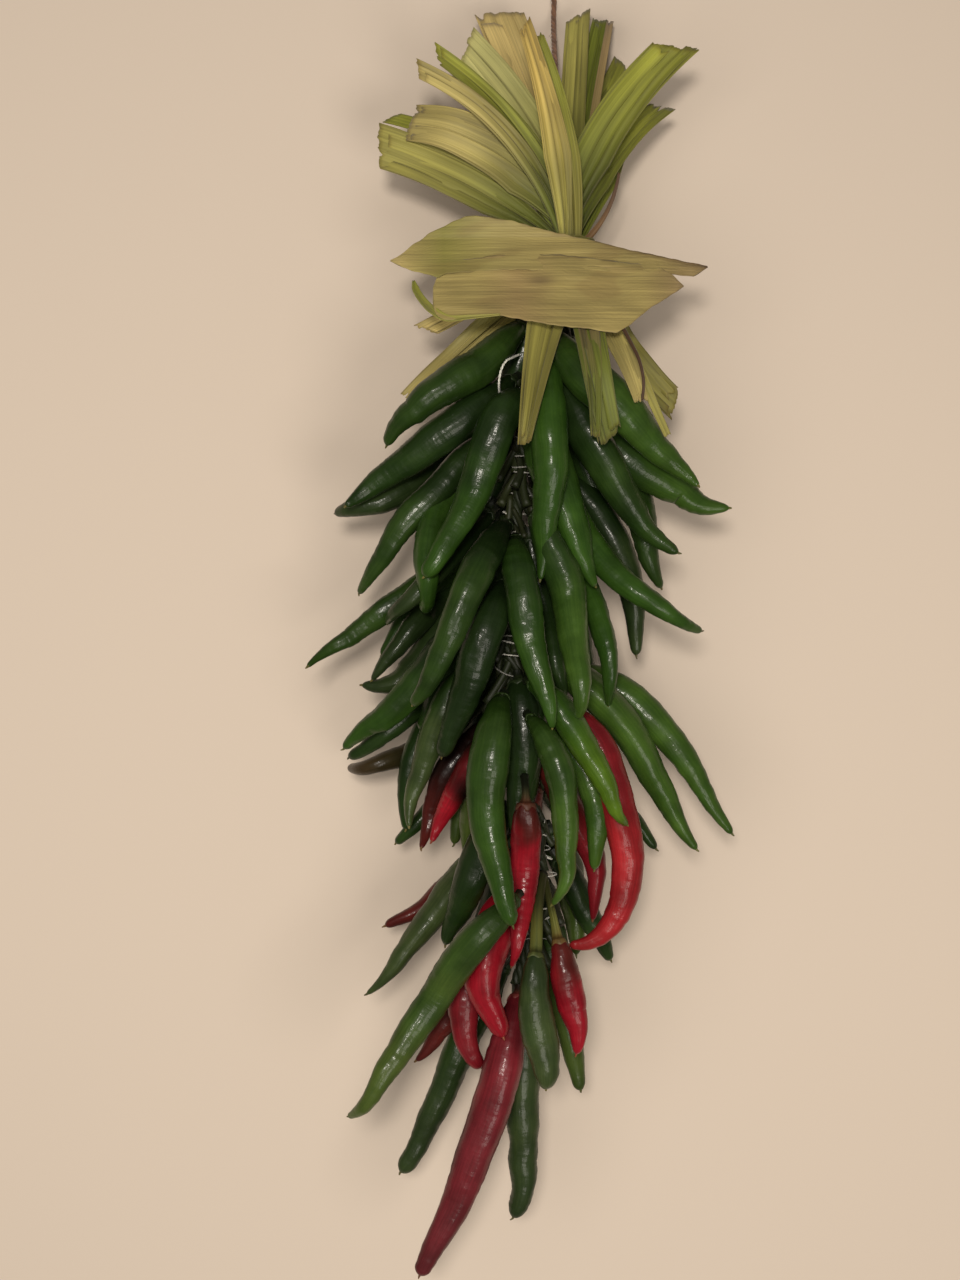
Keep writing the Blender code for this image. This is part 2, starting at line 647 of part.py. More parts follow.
def add_twine(ground):
    """The hanging twine, the knot at its end and the loop beyond the knot, down on the ground."""
    laid = ground + TWINE_RADIUS + CLEARANCE
    route = through(list(TWINE_ROUTE) + [(*place, laid) for place in TWINE_GROUND_ROUTE], 80)
    points = evenly(route, round(length_of(route) / TWINE_STEP) + 1)
    add("twine", tube("twine", points, [TWINE_RADIUS] * len(points), 2), SKINS["twine"])
    knot_x, knot_y = TWINE_GROUND_ROUTE[-1]
    knot_y += TWINE_KNOT + CLEARANCE
    place = Vector((knot_x, knot_y, ground + TWINE_KNOT + CLEARANCE)) * MM
    bpy.ops.mesh.primitive_uv_sphere_add(segments=8, ring_count=6, radius=TWINE_KNOT * MM, location=place)
    adopt(bpy.context.object, "twine_knot", SKINS["twine"])
    start = knot_y + TWINE_KNOT + CLEARANCE
    loop = through(
        [
            (knot_x - LOOP_FOOT, start, laid),
            (knot_x - LOOP_WIDTH / 2, start + LOOP_LENGTH * 0.45, laid),
            (knot_x, start + LOOP_LENGTH, laid),
            (knot_x + LOOP_WIDTH / 2, start + LOOP_LENGTH * 0.45, laid),
            (knot_x + LOOP_FOOT, start, laid),
        ],
        60,
    )
    points = evenly(loop, round(length_of(loop) / TWINE_STEP) + 1)
    add("twine_loop", tube("twine_loop", points, [TWINE_RADIUS] * len(points), 2), SKINS["twine"])


for old in list(bpy.data.objects):
    bpy.data.objects.remove(old, do_unlink=True)

PARTS = bpy.data.collections.new("string of chillies")
bpy.context.scene.collection.children.link(PARTS)
FRAME = bpy.data.objects.new("chilli_string", None)
PARTS.objects.link(FRAME)

SKINS = {
    "green": material("chilli green", (0.13, 0.24, 0.035), 0.3),
    "dark": material("chilli dark green", (0.05, 0.12, 0.03), 0.3),
    "olive": material("chilli olive", (0.16, 0.17, 0.05), 0.35),
    "maroon": material("chilli turning", (0.18, 0.03, 0.03), 0.3),
    "red": material("chilli red", (0.42, 0.02, 0.03), 0.25),
    "husk": material("corn husk", (0.5, 0.45, 0.2), 0.7),
    "tie": material("husk tie", (0.45, 0.38, 0.2), 0.8),
    "string": material("cotton string", (0.6, 0.55, 0.48), 0.8),
    "twine": material("jute twine", (0.2, 0.11, 0.06), 0.9),
}

add_chillies()
add_leaves()
add_front_husk()
add_tie()
low, high = bounds()
add_twine(low[2] / MM)
# The string of chillies without its twine stands centred, with its lowest point at height 0.
FRAME.location = (-(low[0] + high[0]) / 2, -(low[1] + high[1]) / 2, -low[2])
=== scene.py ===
"""A string of fresh chillies under a bow of corn husk, lying on a pale table."""

import math

import bpy
import numpy as np
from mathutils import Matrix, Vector

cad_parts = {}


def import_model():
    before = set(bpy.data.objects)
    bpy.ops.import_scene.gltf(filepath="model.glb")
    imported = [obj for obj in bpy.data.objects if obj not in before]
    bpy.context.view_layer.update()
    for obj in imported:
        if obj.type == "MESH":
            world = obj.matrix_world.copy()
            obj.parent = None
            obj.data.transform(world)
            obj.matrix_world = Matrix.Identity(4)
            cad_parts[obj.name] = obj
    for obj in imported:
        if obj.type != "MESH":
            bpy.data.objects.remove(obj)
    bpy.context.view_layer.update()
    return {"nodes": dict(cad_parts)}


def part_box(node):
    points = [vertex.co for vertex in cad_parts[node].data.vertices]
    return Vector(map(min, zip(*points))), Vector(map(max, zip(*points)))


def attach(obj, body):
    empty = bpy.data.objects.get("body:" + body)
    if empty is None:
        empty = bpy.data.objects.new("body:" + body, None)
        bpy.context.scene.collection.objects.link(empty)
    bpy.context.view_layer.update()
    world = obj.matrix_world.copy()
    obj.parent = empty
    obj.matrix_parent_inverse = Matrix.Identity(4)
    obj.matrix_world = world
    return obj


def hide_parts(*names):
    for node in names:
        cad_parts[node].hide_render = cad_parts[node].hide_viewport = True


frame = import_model()

MM = 0.001
TURN = 2 * math.pi
# The tables below are in millimetres, from the middle of the tie: x to the right, y towards the
# bow's end and z up out of the shown side.
low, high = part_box("tie")
ORIGIN = (np.array(low) + np.array(high)) / 2
GROUND = -ORIGIN[2] / MM
LEAST_HEIGHT = 0.04  # over the ground, so that nothing shares its plane
FIELD_WAVES = 14  # sine waves in a random field
SEEDS = {"twine": 11, "chilli": 100, "inner": 7, "leaf": 50, "band": 21, "tie": 31}


def world(points):
    return ORIGIN + np.asarray(points, float) * MM


def chance(kind, number=0):
    """The random numbers of one piece, the same in each run."""
    return np.random.default_rng(SEEDS[kind] + number)


def placed(name, data):
    """A new object of the scene."""
    made = bpy.data.objects.new(name, data)
    bpy.context.scene.collection.objects.link(made)
    return made


# ---- lines and surfaces


def even(count):
    """Shares from 0 to 1, evenly spaced."""
    return np.linspace(0, 1, count)


def through(points, count):
    """count points on one smooth curve through the given ones (Catmull-Rom)."""
    points = np.asarray(points, float)
    ends = np.vstack([2 * points[0] - points[1], points, 2 * points[-1] - points[-2]])
    found = []
    for place in np.linspace(0, len(points) - 1, count):
        first = min(int(place), len(points) - 2)
        t = place - first
        a, b, c, d = ends[first : first + 4]
        curve = 2 * b + (c - a) * t + (2 * a - 5 * b + 4 * c - d) * t**2
        found.append((curve + (3 * b - a - 3 * c + d) * t**3) / 2)
    return np.array(found)


def run_of(line):
    """Distance along the line at each of its points."""
    return np.concatenate([[0], np.cumsum(np.linalg.norm(np.diff(line, axis=0), axis=1))])


def read(places, run, rows):
    """Rows of numbers that belong to points along a run, read at other places of it."""
    return np.stack([np.interp(places, run, axis) for axis in rows.T], axis=-1)


def evenly(line, count):
    """The line again, with count points at equal distances."""
    run = run_of(line)
    return read(np.linspace(0, run[-1], count), run, line)


def spline(places, values, wanted):
    """Natural cubic spline through values (rows) at places, read at the wanted places."""
    places = np.asarray(places, float)
    values = np.asarray(values, float)
    gaps = np.diff(places)
    slopes = np.diff(values, axis=0) / gaps[:, None]
    count = len(places)
    system = np.eye(count)
    right = np.zeros_like(values)
    for i in range(1, count - 1):
        system[i, i - 1 : i + 2] = gaps[i - 1], 2 * (gaps[i - 1] + gaps[i]), gaps[i]
        right[i] = 6 * (slopes[i] - slopes[i - 1])
    bend = np.linalg.solve(system, right)
    at = np.clip(np.searchsorted(places, wanted) - 1, 0, count - 2)
    h = gaps[at][:, None]
    after = (np.asarray(wanted) - places[at])[:, None]
    before = h - after
    return (
        (bend[at] * before**3 + bend[at + 1] * after**3) / (6 * h)
        + (values[at] / h - bend[at] * h / 6) * before
        + (values[at + 1] / h - bend[at + 1] * h / 6) * after
    )


def smooth(share):
    """Eases from 0 to 1, and stays there beyond either end."""
    share = np.clip(share, 0, 1)
    return share * share * (3 - 2 * share)


def unit(vectors):
    return vectors / np.maximum(np.linalg.norm(vectors, axis=-1, keepdims=True), 1e-12)


def frames(line):
    """(tangents, sides, ups) along a line, turning as little as possible."""
    tangents = unit(np.gradient(line, axis=0))
    ups = np.empty_like(line)
    first = np.array((0.0, 0.0, 1.0)) - tangents[0] * tangents[0, 2]
    if np.linalg.norm(first) < 0.05:
        first = np.cross(tangents[0], (1, 0, 0))
    ups[0] = unit(first)
    for i in range(1, len(line)):
        ups[i] = unit(ups[i - 1] - tangents[i] * np.dot(ups[i - 1], tangents[i]))
    return tangents, np.cross(tangents, ups), ups


def ring_angles(columns):
    return np.linspace(0, TURN, columns, endpoint=False)


def outward(angle, sides, ups):
    """Directions at these angles round each point of a line, from its side towards its up."""
    return np.cos(angle)[..., None] * sides[:, None] + np.sin(angle)[..., None] * ups[:, None]


def swept(line, radii, columns):
    """Rows of points round a line, with one radius for each row."""
    _, sides, ups = frames(line)
    return line[:, None] + outward(ring_angles(columns), sides, ups) * np.asarray(radii)[:, None, None]


def grain_of(shape, along, across, rng):
    """The grain at each point of a grid: along the fibres, across them, and a chance offset."""
    grain = np.zeros(shape)
    grain[..., 0] = along
    grain[..., 1] = across
    grain[..., 2] = rng.uniform(0, 100)
    return grain


class Field:
    """A smooth random field in space, about -1 to 1, with features of the given size."""

    def __init__(self, rng, size):
        ways = unit(rng.normal(size=(FIELD_WAVES, 3)))
        self.waves = ways * (TURN / size) * rng.uniform(0.6, 1.5, (FIELD_WAVES, 1))
        self.phases = rng.uniform(0, TURN, FIELD_WAVES)
        self.scale = math.sqrt(2 / FIELD_WAVES)

    def __call__(self, points):
        return np.sin(np.asarray(points) @ self.waves.T + self.phases).sum(axis=-1) * self.scale * 0.7

    def along(self, x):
        """Its values on a straight line."""
        return self(np.stack([x, 0 * x, 0 * x], axis=1))


class Shell:
    """Collects grids of points into one mesh, with a colour and a grain for each point."""

    def __init__(self):
        self.points, self.colors, self.grains, self.faces, self.kinds = [], [], [], [], []
        self.count = 0

    def grid(self, points, colors, grain=0.0, kind=0, round_=True, start=True, end=True):
        """A grid of rows and columns. A round one closes on itself, and start and end get a fan."""
        shape = points.shape
        rows, columns = shape[:2]
        first = self.count
        index = first + np.arange(rows * columns).reshape(rows, columns)
        colors = np.broadcast_to(np.asarray(colors, float), shape)
        grain = np.broadcast_to(np.asarray(grain, float), shape)
        kept = ((self.points, points), (self.colors, colors), (self.grains, grain))
        for values, added in kept:
            values.append(added.reshape(-1, 3))
        right = np.roll(index, -1, axis=1)
        if not round_:
            index, right = index[:, :-1], right[:, :-1]
        quads = np.stack([index[:-1], right[:-1], right[1:], index[1:]], axis=-1).reshape(-1, 4)
        self.faces += quads.tolist()
        self.kinds += [kind] * len(quads)
        self.count += rows * columns
        for row, closes in ((0, start), (rows - 1, end)):
            if not closes or not round_:
                continue
            for values, added in kept:
                values.append(added[row].mean(axis=0)[None])
            ring = first + row * columns + np.arange(columns)
            after = np.roll(ring, -1)
            pair = (after, ring) if row == 0 else (ring, after)
            self.faces += np.stack([np.full(columns, self.count), *pair], axis=-1).tolist()
            self.kinds += [kind] * columns
            self.count += 1

    def build(self, name, materials, slot, nodes):
        """The mesh as an object that rides on the body and stands for these CAD nodes."""
        mesh = bpy.data.meshes.new(name)
        points = np.vstack(self.points)
        points[:, 2] = np.maximum(points[:, 2], GROUND + LEAST_HEIGHT)
        mesh.from_pydata(world(points), [], self.faces)
        for material in materials:
            mesh.materials.append(material)
        mesh.polygons.foreach_set("material_index", self.kinds)
        tint = mesh.color_attributes.new("tint", "FLOAT_COLOR", "POINT")
        colors = np.vstack(self.colors)
        tint.data.foreach_set("color", np.hstack([colors, np.ones((len(colors), 1))]).ravel())
        grain = mesh.attributes.new("grain", "FLOAT_VECTOR", "POINT")
        grain.data.foreach_set("vector", np.vstack(self.grains).ravel())
        mesh.validate()
        mesh.shade_smooth()
        made = placed(name, mesh)
        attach(made, "root")
        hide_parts(*nodes)
        return made


def linear(*srgb):
    """A colour given as it looks on a screen, 0 to 255, as the renderer counts it."""
    values = np.array(srgb, float) / 255
    return np.where(values <= 0.04045, values / 12.92, ((values + 0.055) / 1.055) ** 2.4)


# ---- materials

FIBRE_DEPTH = 0.0003  # metres


def new_material(name, roughness, specular, coat=0.0, coat_roughness=0.1):
    made = bpy.data.materials.new(name)
    made.use_nodes = True
    shader = made.node_tree.nodes["Principled BSDF"]
    shader.inputs["Roughness"].default_value = roughness
    shader.inputs["Specular IOR Level"].default_value = specular
    shader.inputs["Coat Weight"].default_value = coat
    shader.inputs["Coat Roughness"].default_value = coat_roughness
    return made, made.node_tree, shader


def node(tree, kind, inputs=(), **settings):
    """A shader node. inputs go by name or by number, and are values or other nodes' outputs."""
    made = tree.nodes.new("ShaderNode" + kind)
    for name, value in settings.items():
        setattr(made, name, value)
    for name, value in dict(inputs).items():
        if isinstance(value, bpy.types.NodeSocket):
            tree.links.new(value, made.inputs[name])
        else:
            made.inputs[name].default_value = value
    return made


def own_color(tree):
    return node(tree, "Attribute", attribute_name="tint").outputs["Color"]


def noise(tree, place, scale, detail):
    return node(tree, "TexNoise", {"Vector": place, "Scale": scale, "Detail": detail}).outputs["Fac"]


def space_noise(tree, scale, detail):
    return noise(tree, node(tree, "TexCoord").outputs["Object"], scale, detail)


def grain_noise(tree, along, across, detail):
    """Noise over the grain's coordinates: the larger a number, the finer it is that way."""
    grain = node(tree, "Attribute", attribute_name="grain").outputs["Vector"]
    place = node(tree, "Mapping", {"Vector": grain, "Scale": (along, across, 1)}).outputs["Vector"]
    return noise(tree, place, 1, detail)


def mixed(tree, factor, first, second, blend="MIX"):
    inputs = {0: factor, 6: first, 7: second}
    return node(tree, "Mix", inputs, data_type="RGBA", blend_type=blend).outputs[2]


def shaded(tree, color, factor, stops, dark, bright):
    """The colour, times one that goes from dark to bright between these stops of the factor."""
    ramp = node(tree, "ValToRGB", {"Fac": factor})
    for element, stop in zip(ramp.color_ramp.elements, stops):
        element.position = stop
    shade = mixed(tree, ramp.outputs["Color"], (*dark, 1), (*bright, 1))
    return mixed(tree, 1.0, color, shade, "MULTIPLY")


def bumped(tree, layers):
    """A normal with layers of bumps, one over another: height, strength and depth in metres."""
    normal = None
    for height, strength, distance in layers:
        inputs = {"Height": height, "Strength": strength, "Distance": distance}
        if normal:
            inputs["Normal"] = normal
        normal = node(tree, "Bump", inputs).outputs["Normal"]
    return normal


def joined(made, color, normal):
    """The material, with this colour and this normal on its shader."""
    shader = made.node_tree.nodes["Principled BSDF"]
    made.node_tree.links.new(color, shader.inputs["Base Color"])
    made.node_tree.links.new(normal, shader.inputs["Normal"])
    return made


def chilli_skin():
    """Waxy skin: patches, faint long streaks, pale flecks, fine dimples, wrinkles and lumps."""
    made, tree, shader = new_material("chilli skin", 0.34, 0.16, 0.13, 0.12)
    color = own_color(tree)
    for factor, stops, dark, bright in (
        (space_noise(tree, 80, 5), (0.34, 0.68), (0.72, 0.76, 0.72), (1.2, 1.14, 1.14)),
        (grain_noise(tree, 0.06, 1.3, 4), (0.36, 0.7), (0.85, 0.88, 0.85), (1.14, 1.1, 1.12)),
        (grain_noise(tree, 0.5, 1.1, 3), (0.6, 0.78), (1, 1, 1), (1.22, 1.18, 1.16)),
    ):
        color = shaded(tree, color, factor, stops, dark, bright)
    waxy = node(tree, "MapRange", {"Value": space_noise(tree, 240, 3), "To Min": 0.26, "To Max": 0.44})
    tree.links.new(waxy.outputs["Result"], shader.inputs["Roughness"])
    dimples = (space_noise(tree, 1000, 2), 0.12, 0.0003)
    wrinkles = (grain_noise(tree, 0.55, 0.16, 3), 0.26, 0.0007)
    lumps = (grain_noise(tree, 0.14, 0.4, 2), 0.26, 0.0008)
    normal = bumped(tree, (dimples, wrinkles, lumps))
    tree.links.new(normal, shader.inputs["Coat Normal"])
    return joined(made, color, normal)


def stem_skin():
    """Green stem and calyx: matt, with fine ribs along it."""
    made, tree, _ = new_material("chilli stem", 0.55, 0.4)
    ribs = grain_noise(tree, 0.1, 2.2, 4)
    color = shaded(tree, own_color(tree), ribs, (0.35, 0.7), (0.7, 0.72, 0.6), (1.2, 1.15, 1.1))
    return joined(made, color, bumped(tree, ((ribs, 0.5, 0.0004),)))


def fibre_material(name, roughness, along, across, contrast, sheen):
    """Husk, twine and cotton: fibres drawn out along the grain, in the piece's own colour."""
    made, tree, shader = new_material(name, roughness, 0.3)
    shader.inputs["Sheen Weight"].default_value = sheen
    fibres = grain_noise(tree, along, across, 5)
    veins = grain_noise(tree, along * 0.4, across * 3, 2)
    color = own_color(tree)
    for factor, stops, less, more in (
        (fibres, (0.32, 0.7), contrast, contrast * 0.7),
        (veins, (0.35, 0.65), contrast / 2, contrast / 3),
    ):
        color = shaded(tree, color, factor, stops, (1 - less,) * 3, (1 + more,) * 3)
    return joined(made, color, bumped(tree, ((fibres, 0.6, FIBRE_DEPTH), (veins, 0.5, FIBRE_DEPTH * 0.6))))


SKIN = chilli_skin()
STEM = stem_skin()
HUSK = fibre_material("corn husk", 0.55, 0.03, 1.5, 0.18, 0.1)
TWINE = fibre_material("jute", 0.85, 0.5, 3.0, 0.35, 0.2)
COTTON = fibre_material("cotton", 0.8, 0.6, 2.4, 0.15, 0.3)

# The string's own slight wander from the tie: (drop, x)
STRING_WANDER = (
    (0, -1), (14, -4), (41, -13), (81, -18), (146, -23), (204, -15), (240, -10), (262, -17), (272, -20),
)

# ---- camera and twine

CAMERA_PLACE = (-33.3, -144.3, 658)
camera = placed("camera", bpy.data.cameras.new("camera"))
camera.data.lens = 50
camera.data.sensor_width = 36
camera.location = world(CAMERA_PLACE)
bpy.context.scene.camera = camera

TWINE_DIAMETER = 2.2
TWINE_PITCH = 7.5  # of one turn of a ply
TWINE_FUZZ = 0.7  # loose fibres for each millimetre
TWINE_LIFT = 1.5  # of its centre over the ground, where it lies
TWINE_ROUTE = (
    (-1, -1, 0), (-1.2, 10, 0), (-1.8, 25, -0.6), (-2.7, 40, -3),
    (-3.7, 56, -9), (-4.4, 72, -19), (-4.6, 88, -32), (-4.4, 100, -41),
)
TWINE_GROUND_ROUTE = ((-4, 110), (-3.6, 121), (-3.4, 131))
KNOT_RADIUS = 2.6
KNOT_GAP = 0.4
LOOP_LENGTH = 26.0
LOOP_WIDTH = 13.0
LOOP_FOOT = 1.8
JUTE = linear(118, 84, 62)
COTTON_WHITE = linear(214, 212, 200)


def strands(shell, line, radius, plies, pitch, color, rng, columns=10, fuzz=0.0, kind=0):
    """Plies twisted round a line, each a round tube of its own, with short loose fibres."""
    run = run_of(line)
    tangents, sides, ups = frames(line)
    ply = radius * (0.56 if plies == 3 else 0.5)
    off = radius - ply * 1.02
    for k in range(plies):
        angle = TURN * (run / pitch + k / plies)
        centre = line + (np.cos(angle)[:, None] * sides + np.sin(angle)[:, None] * ups) * off
        wobble = 1 + 0.06 * np.sin(run * 1.7 + k * 2 + rng.uniform(0, 6))
        points = swept(centre, ply * wobble, columns)
        light = (1 + 0.12 * np.sin(run * 0.5 + k))[:, None, None]
        tone = color * (1 + 0.25 * rng.uniform(-1, 1)) * light
        grain = np.zeros(points.shape)
        grain[..., 0] = run[:, None]
        grain[..., 1] = ring_angles(columns) * ply + 10 * k
        grain[..., 1] += run[:, None] * 0.5
        shell.grid(points, tone, grain, kind)
    for _ in range(int(fuzz * run[-1])):
        at = int(rng.integers(2, len(line) - 3))
        angle = rng.uniform(0, TURN)
        out = math.cos(angle) * sides[at] + math.sin(angle) * ups[at]
        length = rng.uniform(1.2, 3.5)
        sweep = tangents[at] * length * rng.choice((-1, 1)) + out * length * rng.uniform(0.15, 0.5)
        t = even(6)[:, None]
        base = line[at] + out * radius * 0.85
        hair = base + sweep * t + np.cross(sweep, out) * 0.25 * t**2
        hair[:, 2] = np.maximum(hair[:, 2], GROUND + 0.06)
        shell.grid(swept(hair, np.linspace(0.05, 0.02, 6), 4), color * rng.uniform(0.8, 1.5))


def twine_along(line, rng):
    shell = Shell()
    strands(shell, line, TWINE_DIAMETER / 2, 3, TWINE_PITCH, JUTE, rng, fuzz=TWINE_FUZZ)
    return shell


def add_twine():
    """The hanging twine, its knot and the loop beyond the knot, laid on the ground."""
    rng = chance("twine")
    laid = GROUND + TWINE_LIFT
    route = list(TWINE_ROUTE) + [(*place, laid) for place in TWINE_GROUND_ROUTE]
    route = evenly(through(route, 400), 260)
    twine = twine_along(route, rng).build("jute_twine", [TWINE], "twine", ["twine"])

    knot_x, knot_y = TWINE_GROUND_ROUTE[-1]
    knot_y += KNOT_RADIUS + KNOT_GAP
    shell = Shell()
    t = np.linspace(0, TURN, 90)
    wrap = np.stack(
        [
            knot_x + (np.sin(t) + 2 * np.sin(2 * t)) * 0.62,
            knot_y + np.sin(3 * t) * 0.75 + 0.35 * np.cos(t),
            GROUND + KNOT_RADIUS + KNOT_GAP + (np.cos(t) - 2 * np.cos(2 * t)) * 0.5,
        ],
        axis=1,
    )
    strands(shell, wrap, 0.95, 3, 6, JUTE, rng, 8)
    knot = shell.build("jute_knot", [TWINE], "twine", ["twine_knot"])

    start = knot_y + KNOT_RADIUS + KNOT_GAP
    middle = start + LOOP_LENGTH * 0.45
    corners = (
        (-LOOP_FOOT, start), (-LOOP_WIDTH / 2, middle), (0, start + LOOP_LENGTH),
        (LOOP_WIDTH / 2, middle), (LOOP_FOOT, start),
    )
    loop = evenly(through([(knot_x + aside, y, laid) for aside, y in corners], 200), 120)
    looped = twine_along(loop, rng).build("jute_loop", [TWINE], "twine", ["twine_loop"])


add_twine()

# ---- chillies

# Skin colours, as they look on a screen. The dark greens "shade" and "bottle" are partly painted shade,
# for parts that the other chillies hang over
TONES = {
    "forest": (41, 62, 22), "bottle": (33, 52, 19), "shade": (25, 40, 16), "moss": (44, 71, 22),
    "fresh": (54, 79, 27), "spring": (78, 106, 26), "sage": (56, 69, 37), "pine": (40, 53, 27),
    "olive": (62, 77, 32), "crimson": (138, 21, 34), "cherry": (115, 23, 31), "scarlet": (150, 34, 38),
    "wine": (92, 33, 38), "ruby": (112, 32, 40), "russet": (80, 28, 24), "cocoa": (28, 14, 11),
    "umber": (50, 40, 24),
}
SKIN_GAIN = 0.93  # the skins' own colours against the tones that they have among their shadows
# Each loose chilli's tones: at its top, at its tip. A top toned "shade" or "bottle" is darkened with
# painted shade
LOOKS = {
    1: "forest forest", 2: "forest fresh", 3: "moss moss", 4: "shade moss", 6: "shade forest",
    7: "shade bottle", 8: "forest moss", 10: "moss moss", 11: "shade forest", 12: "bottle fresh",
    13: "forest moss", 14: "shade pine", 15: "shade forest", 21: "moss moss", 22: "bottle fresh",
    24: "shade forest", 26: "bottle moss", 27: "forest forest", 28: "shade pine", 29: "shade pine",
    31: "shade shade", 33: "shade moss", 37: "bottle sage", 41: "fresh fresh", 44: "moss spring",
    45: "forest moss", 46: "fresh fresh", 47: "cherry scarlet", 48: "forest fresh", 49: "cocoa russet",
    51: "cocoa crimson", 53: "moss fresh", 54: "russet cherry", 56: "russet crimson", 62: "sage sage",
    64: "crimson crimson", 65: "forest olive", 67: "russet crimson", 68: "pine sage", 69: "wine cherry",
    71: "russet russet", 72: "bottle pine", 73: "sage pine", 74: "ruby wine",
}
# Shares of its length where the tip's tone begins, and over which it grows
RIPENING = {49: (0.45, 0.5), 51: (0.3, 0.6), 56: (-0.02, 0.2), 67: (0.0, 0.4), 54: (0.1, 0.6)}
EVEN_RIPENING = (0.0, 1.0)
# Tones of the inner chillies: a "shade" top is painted shade, deep in the bundle
INNER_TONES = {
    "dark": "shade bottle", "olive": "shade pine", "umber": "shade umber", "maroon": "cocoa russet",
    "red": "russet cherry", "fresh": "bottle olive",
}
# The inner chillies that show: where the tip lies, the tones, the girth against the solid's, and how
# far the upper part goes down
INNER_MARKED = (
    ((-69, -252), "maroon", 1.1, 0), ((-24, -252), "red", 1.1, 0), ((25, -150), "olive", 1.5, 0),
    ((-67, -138), "olive", 1.1, 14), ((-83, -193), "umber", 1.25, 0), ((4, -311), "fresh", 1.3, 0),
    ((-43, -221), "fresh", 1.4, 0), ((3, -263), "fresh", 1.2, 0), ((-38, -225), "fresh", 1.2, 0),
)
# The side to which a tip curls, in millimetres to the right and upwards, where it is marked
CURLS = {
    1: (0.6, -2.6), 6: (2.2, -0.4), 12: (2.4, 1.0), 27: (-0.4, -2.4), 29: (-2.0, 1.6), 33: (0.4, -2.0),
    22: (-1.6, -0.6), 44: (1.8, -0.2), 48: (-2.6, 0.4), 53: (0.6, -1.4), 41: (1.4, -1.0),
    46: (1.6, -1.6), 15: (1.6, -0.4), 62: (-1.6, -0.8), 65: (-1.6, 0.4), 71: (-1.8, 0.6),
    73: (-2.2, 0.4),
}
# Tip's girth against the body's
BLUNT = {
    45: 0.36, 68: 0.5, 72: 0.5, 73: 0.5, 74: 0.34, 31: 0.34, 64: 0.33, 4: 0.36, 13: 0.34, 24: 0.26,
    69: 0.3, 2: 0.1,
}
# A loose chilli's girth against its solid's, which its neighbours squeeze or leave too wide
WIDER = {
    6: 1.2, 8: 1.4, 12: 1.35, 24: 0.84, 29: 1.45, 44: 0.86, 45: 1.08, 46: 1.08, 41: 1.08, 47: 1.28,
    49: 0.9, 51: 0.88, 53: 1.3, 62: 0.84, 64: 1.5, 65: 0.8, 67: 1.3, 69: 1.22, 71: 1.2, 72: 1.24,
    73: 1.35, 74: 0.9, 68: 1.16, 13: 1.2, 14: 1.3, 15: 1.15,
}
# The share of its length where a chilli is bent to the side, and how far to the right
SHIFTS = {47: (0.5, -7), 22: (0.3, -1)}
# How far its upper part goes down under those that hang over it, and to which share of its length
DIPS = {22: (24, 0.62), 27: (15, 0.75), 28: (11, 0.7), 24: (5, 0.5), 13: (-9, 3)}
# How far a top reaches up under the band, or stays below it
LIFTS = {1: 8, 2: 7, 3: 8, 4: -12, 6: 8, 8: 6, 7: 5, 10: 9, 15: 10, 12: 5, 47: 2, 67: 6, 68: 11}
HOOKED = 47  # the long hooked one
ON_STEMS = {67: 1.3, 68: 2.1}  # hang by a bare stem that shows, of this radius
FLAT_TOPS = (56,)  # begin broad
STEM_GREEN = linear(96, 100, 46)
NECK_GREEN = linear(46, 58, 26)
LOOSE_THREAD = (
    (-19, -40, 8), (-21.5, -42.4, 17), (-24, -44.5, 22), (-25.8, -48.1, 24), (-26.5, -52.4, 23),
    (-26.1, -56, 14),
)
# Girths of the inner solids' rings, from the tip, against their greatest
INNER_GIRTHS = (0.577, 0.944, 0.998, 0.55)
BACK_TO_STRING = 34.0  # up the string from where a merged one leaves it
TUCK = 4.0  # from the knot to where the other bodies begin
# A neck's girth against the body's, and the share of the body's length that it takes to swell
NECK = (0.34, 0.24)
BARE_NECK = (0.38, 0.5)
FLAT_NECK = (0.5, 0.2)
INNER_NECK = (0.55, 0.24)
LONG_NECK = (0.26, 0.8)
# Tops of chillies that the others cover: where each starts and ends, and its radius
COVERED = (
    ((-10, -30, -4), (13, -103, -9), 7.2), ((-12, -14, 0), (-27, -74, -6), 6.4),
    ((-9, -92, -9), (9, -165, -13), 6.0), ((-12, -148, 5), (-18, -211, 13), 6.2),
    ((-8, -24, -6), (22, -76, -12), 6.6), ((-20, -60, -8), (-44, -122, -12), 6.2),
)
TOP_PAINTED_SHADE = 0.3  # painted shade: how much darker a body is where it leaves the knot, among the others
STEM_RADIUS = 1.3
BODY_ROWS = 90
HOOKED_ROWS = 124
BODY_COLUMNS = 28
INNER_ROWS = 44
INNER_COLUMNS = 18
STEM_ROWS = 16
CAP_ROWS = 11
# Of the loose solids and of the hooked one: the widest ring, and its share of the greatest girth
LOOSE_STATION = (4, 0.981)
HOOKED_STATION = (6, 0.94)
NO_DIP = (0.0, 0.5)
NO_SHIFT = (0.5, 0.0)


def corners_and_links(name):
    """A CAD node's corners, once each, in the tables' frame, and those that each is joined to."""
    mesh = frame["nodes"][name].data
    points = (np.array([vertex.co for vertex in mesh.vertices]) - ORIGIN) / MM
    kept, index = np.unique(np.round(points, 3), axis=0, return_inverse=True)
    index = index.reshape(-1)
    links = [set() for _ in kept]
    for edge in mesh.edges:
        a, b = (int(index[corner]) for corner in edge.vertices)
        if a != b:
            links[a].add(b)
            links[b].add(a)
    return kept, links


def rings_from(tip, links, sides):
    """The rings of corners that follow a tip, while each has as many corners as the tube's sides."""
    seen = {tip}
    level = {tip}
    rings = []
    while True:
        level = {other for corner in level for other in links[corner]} - seen
        if len(level) != sides:
            return rings, level
        seen |= level
        rings.append(sorted(level))


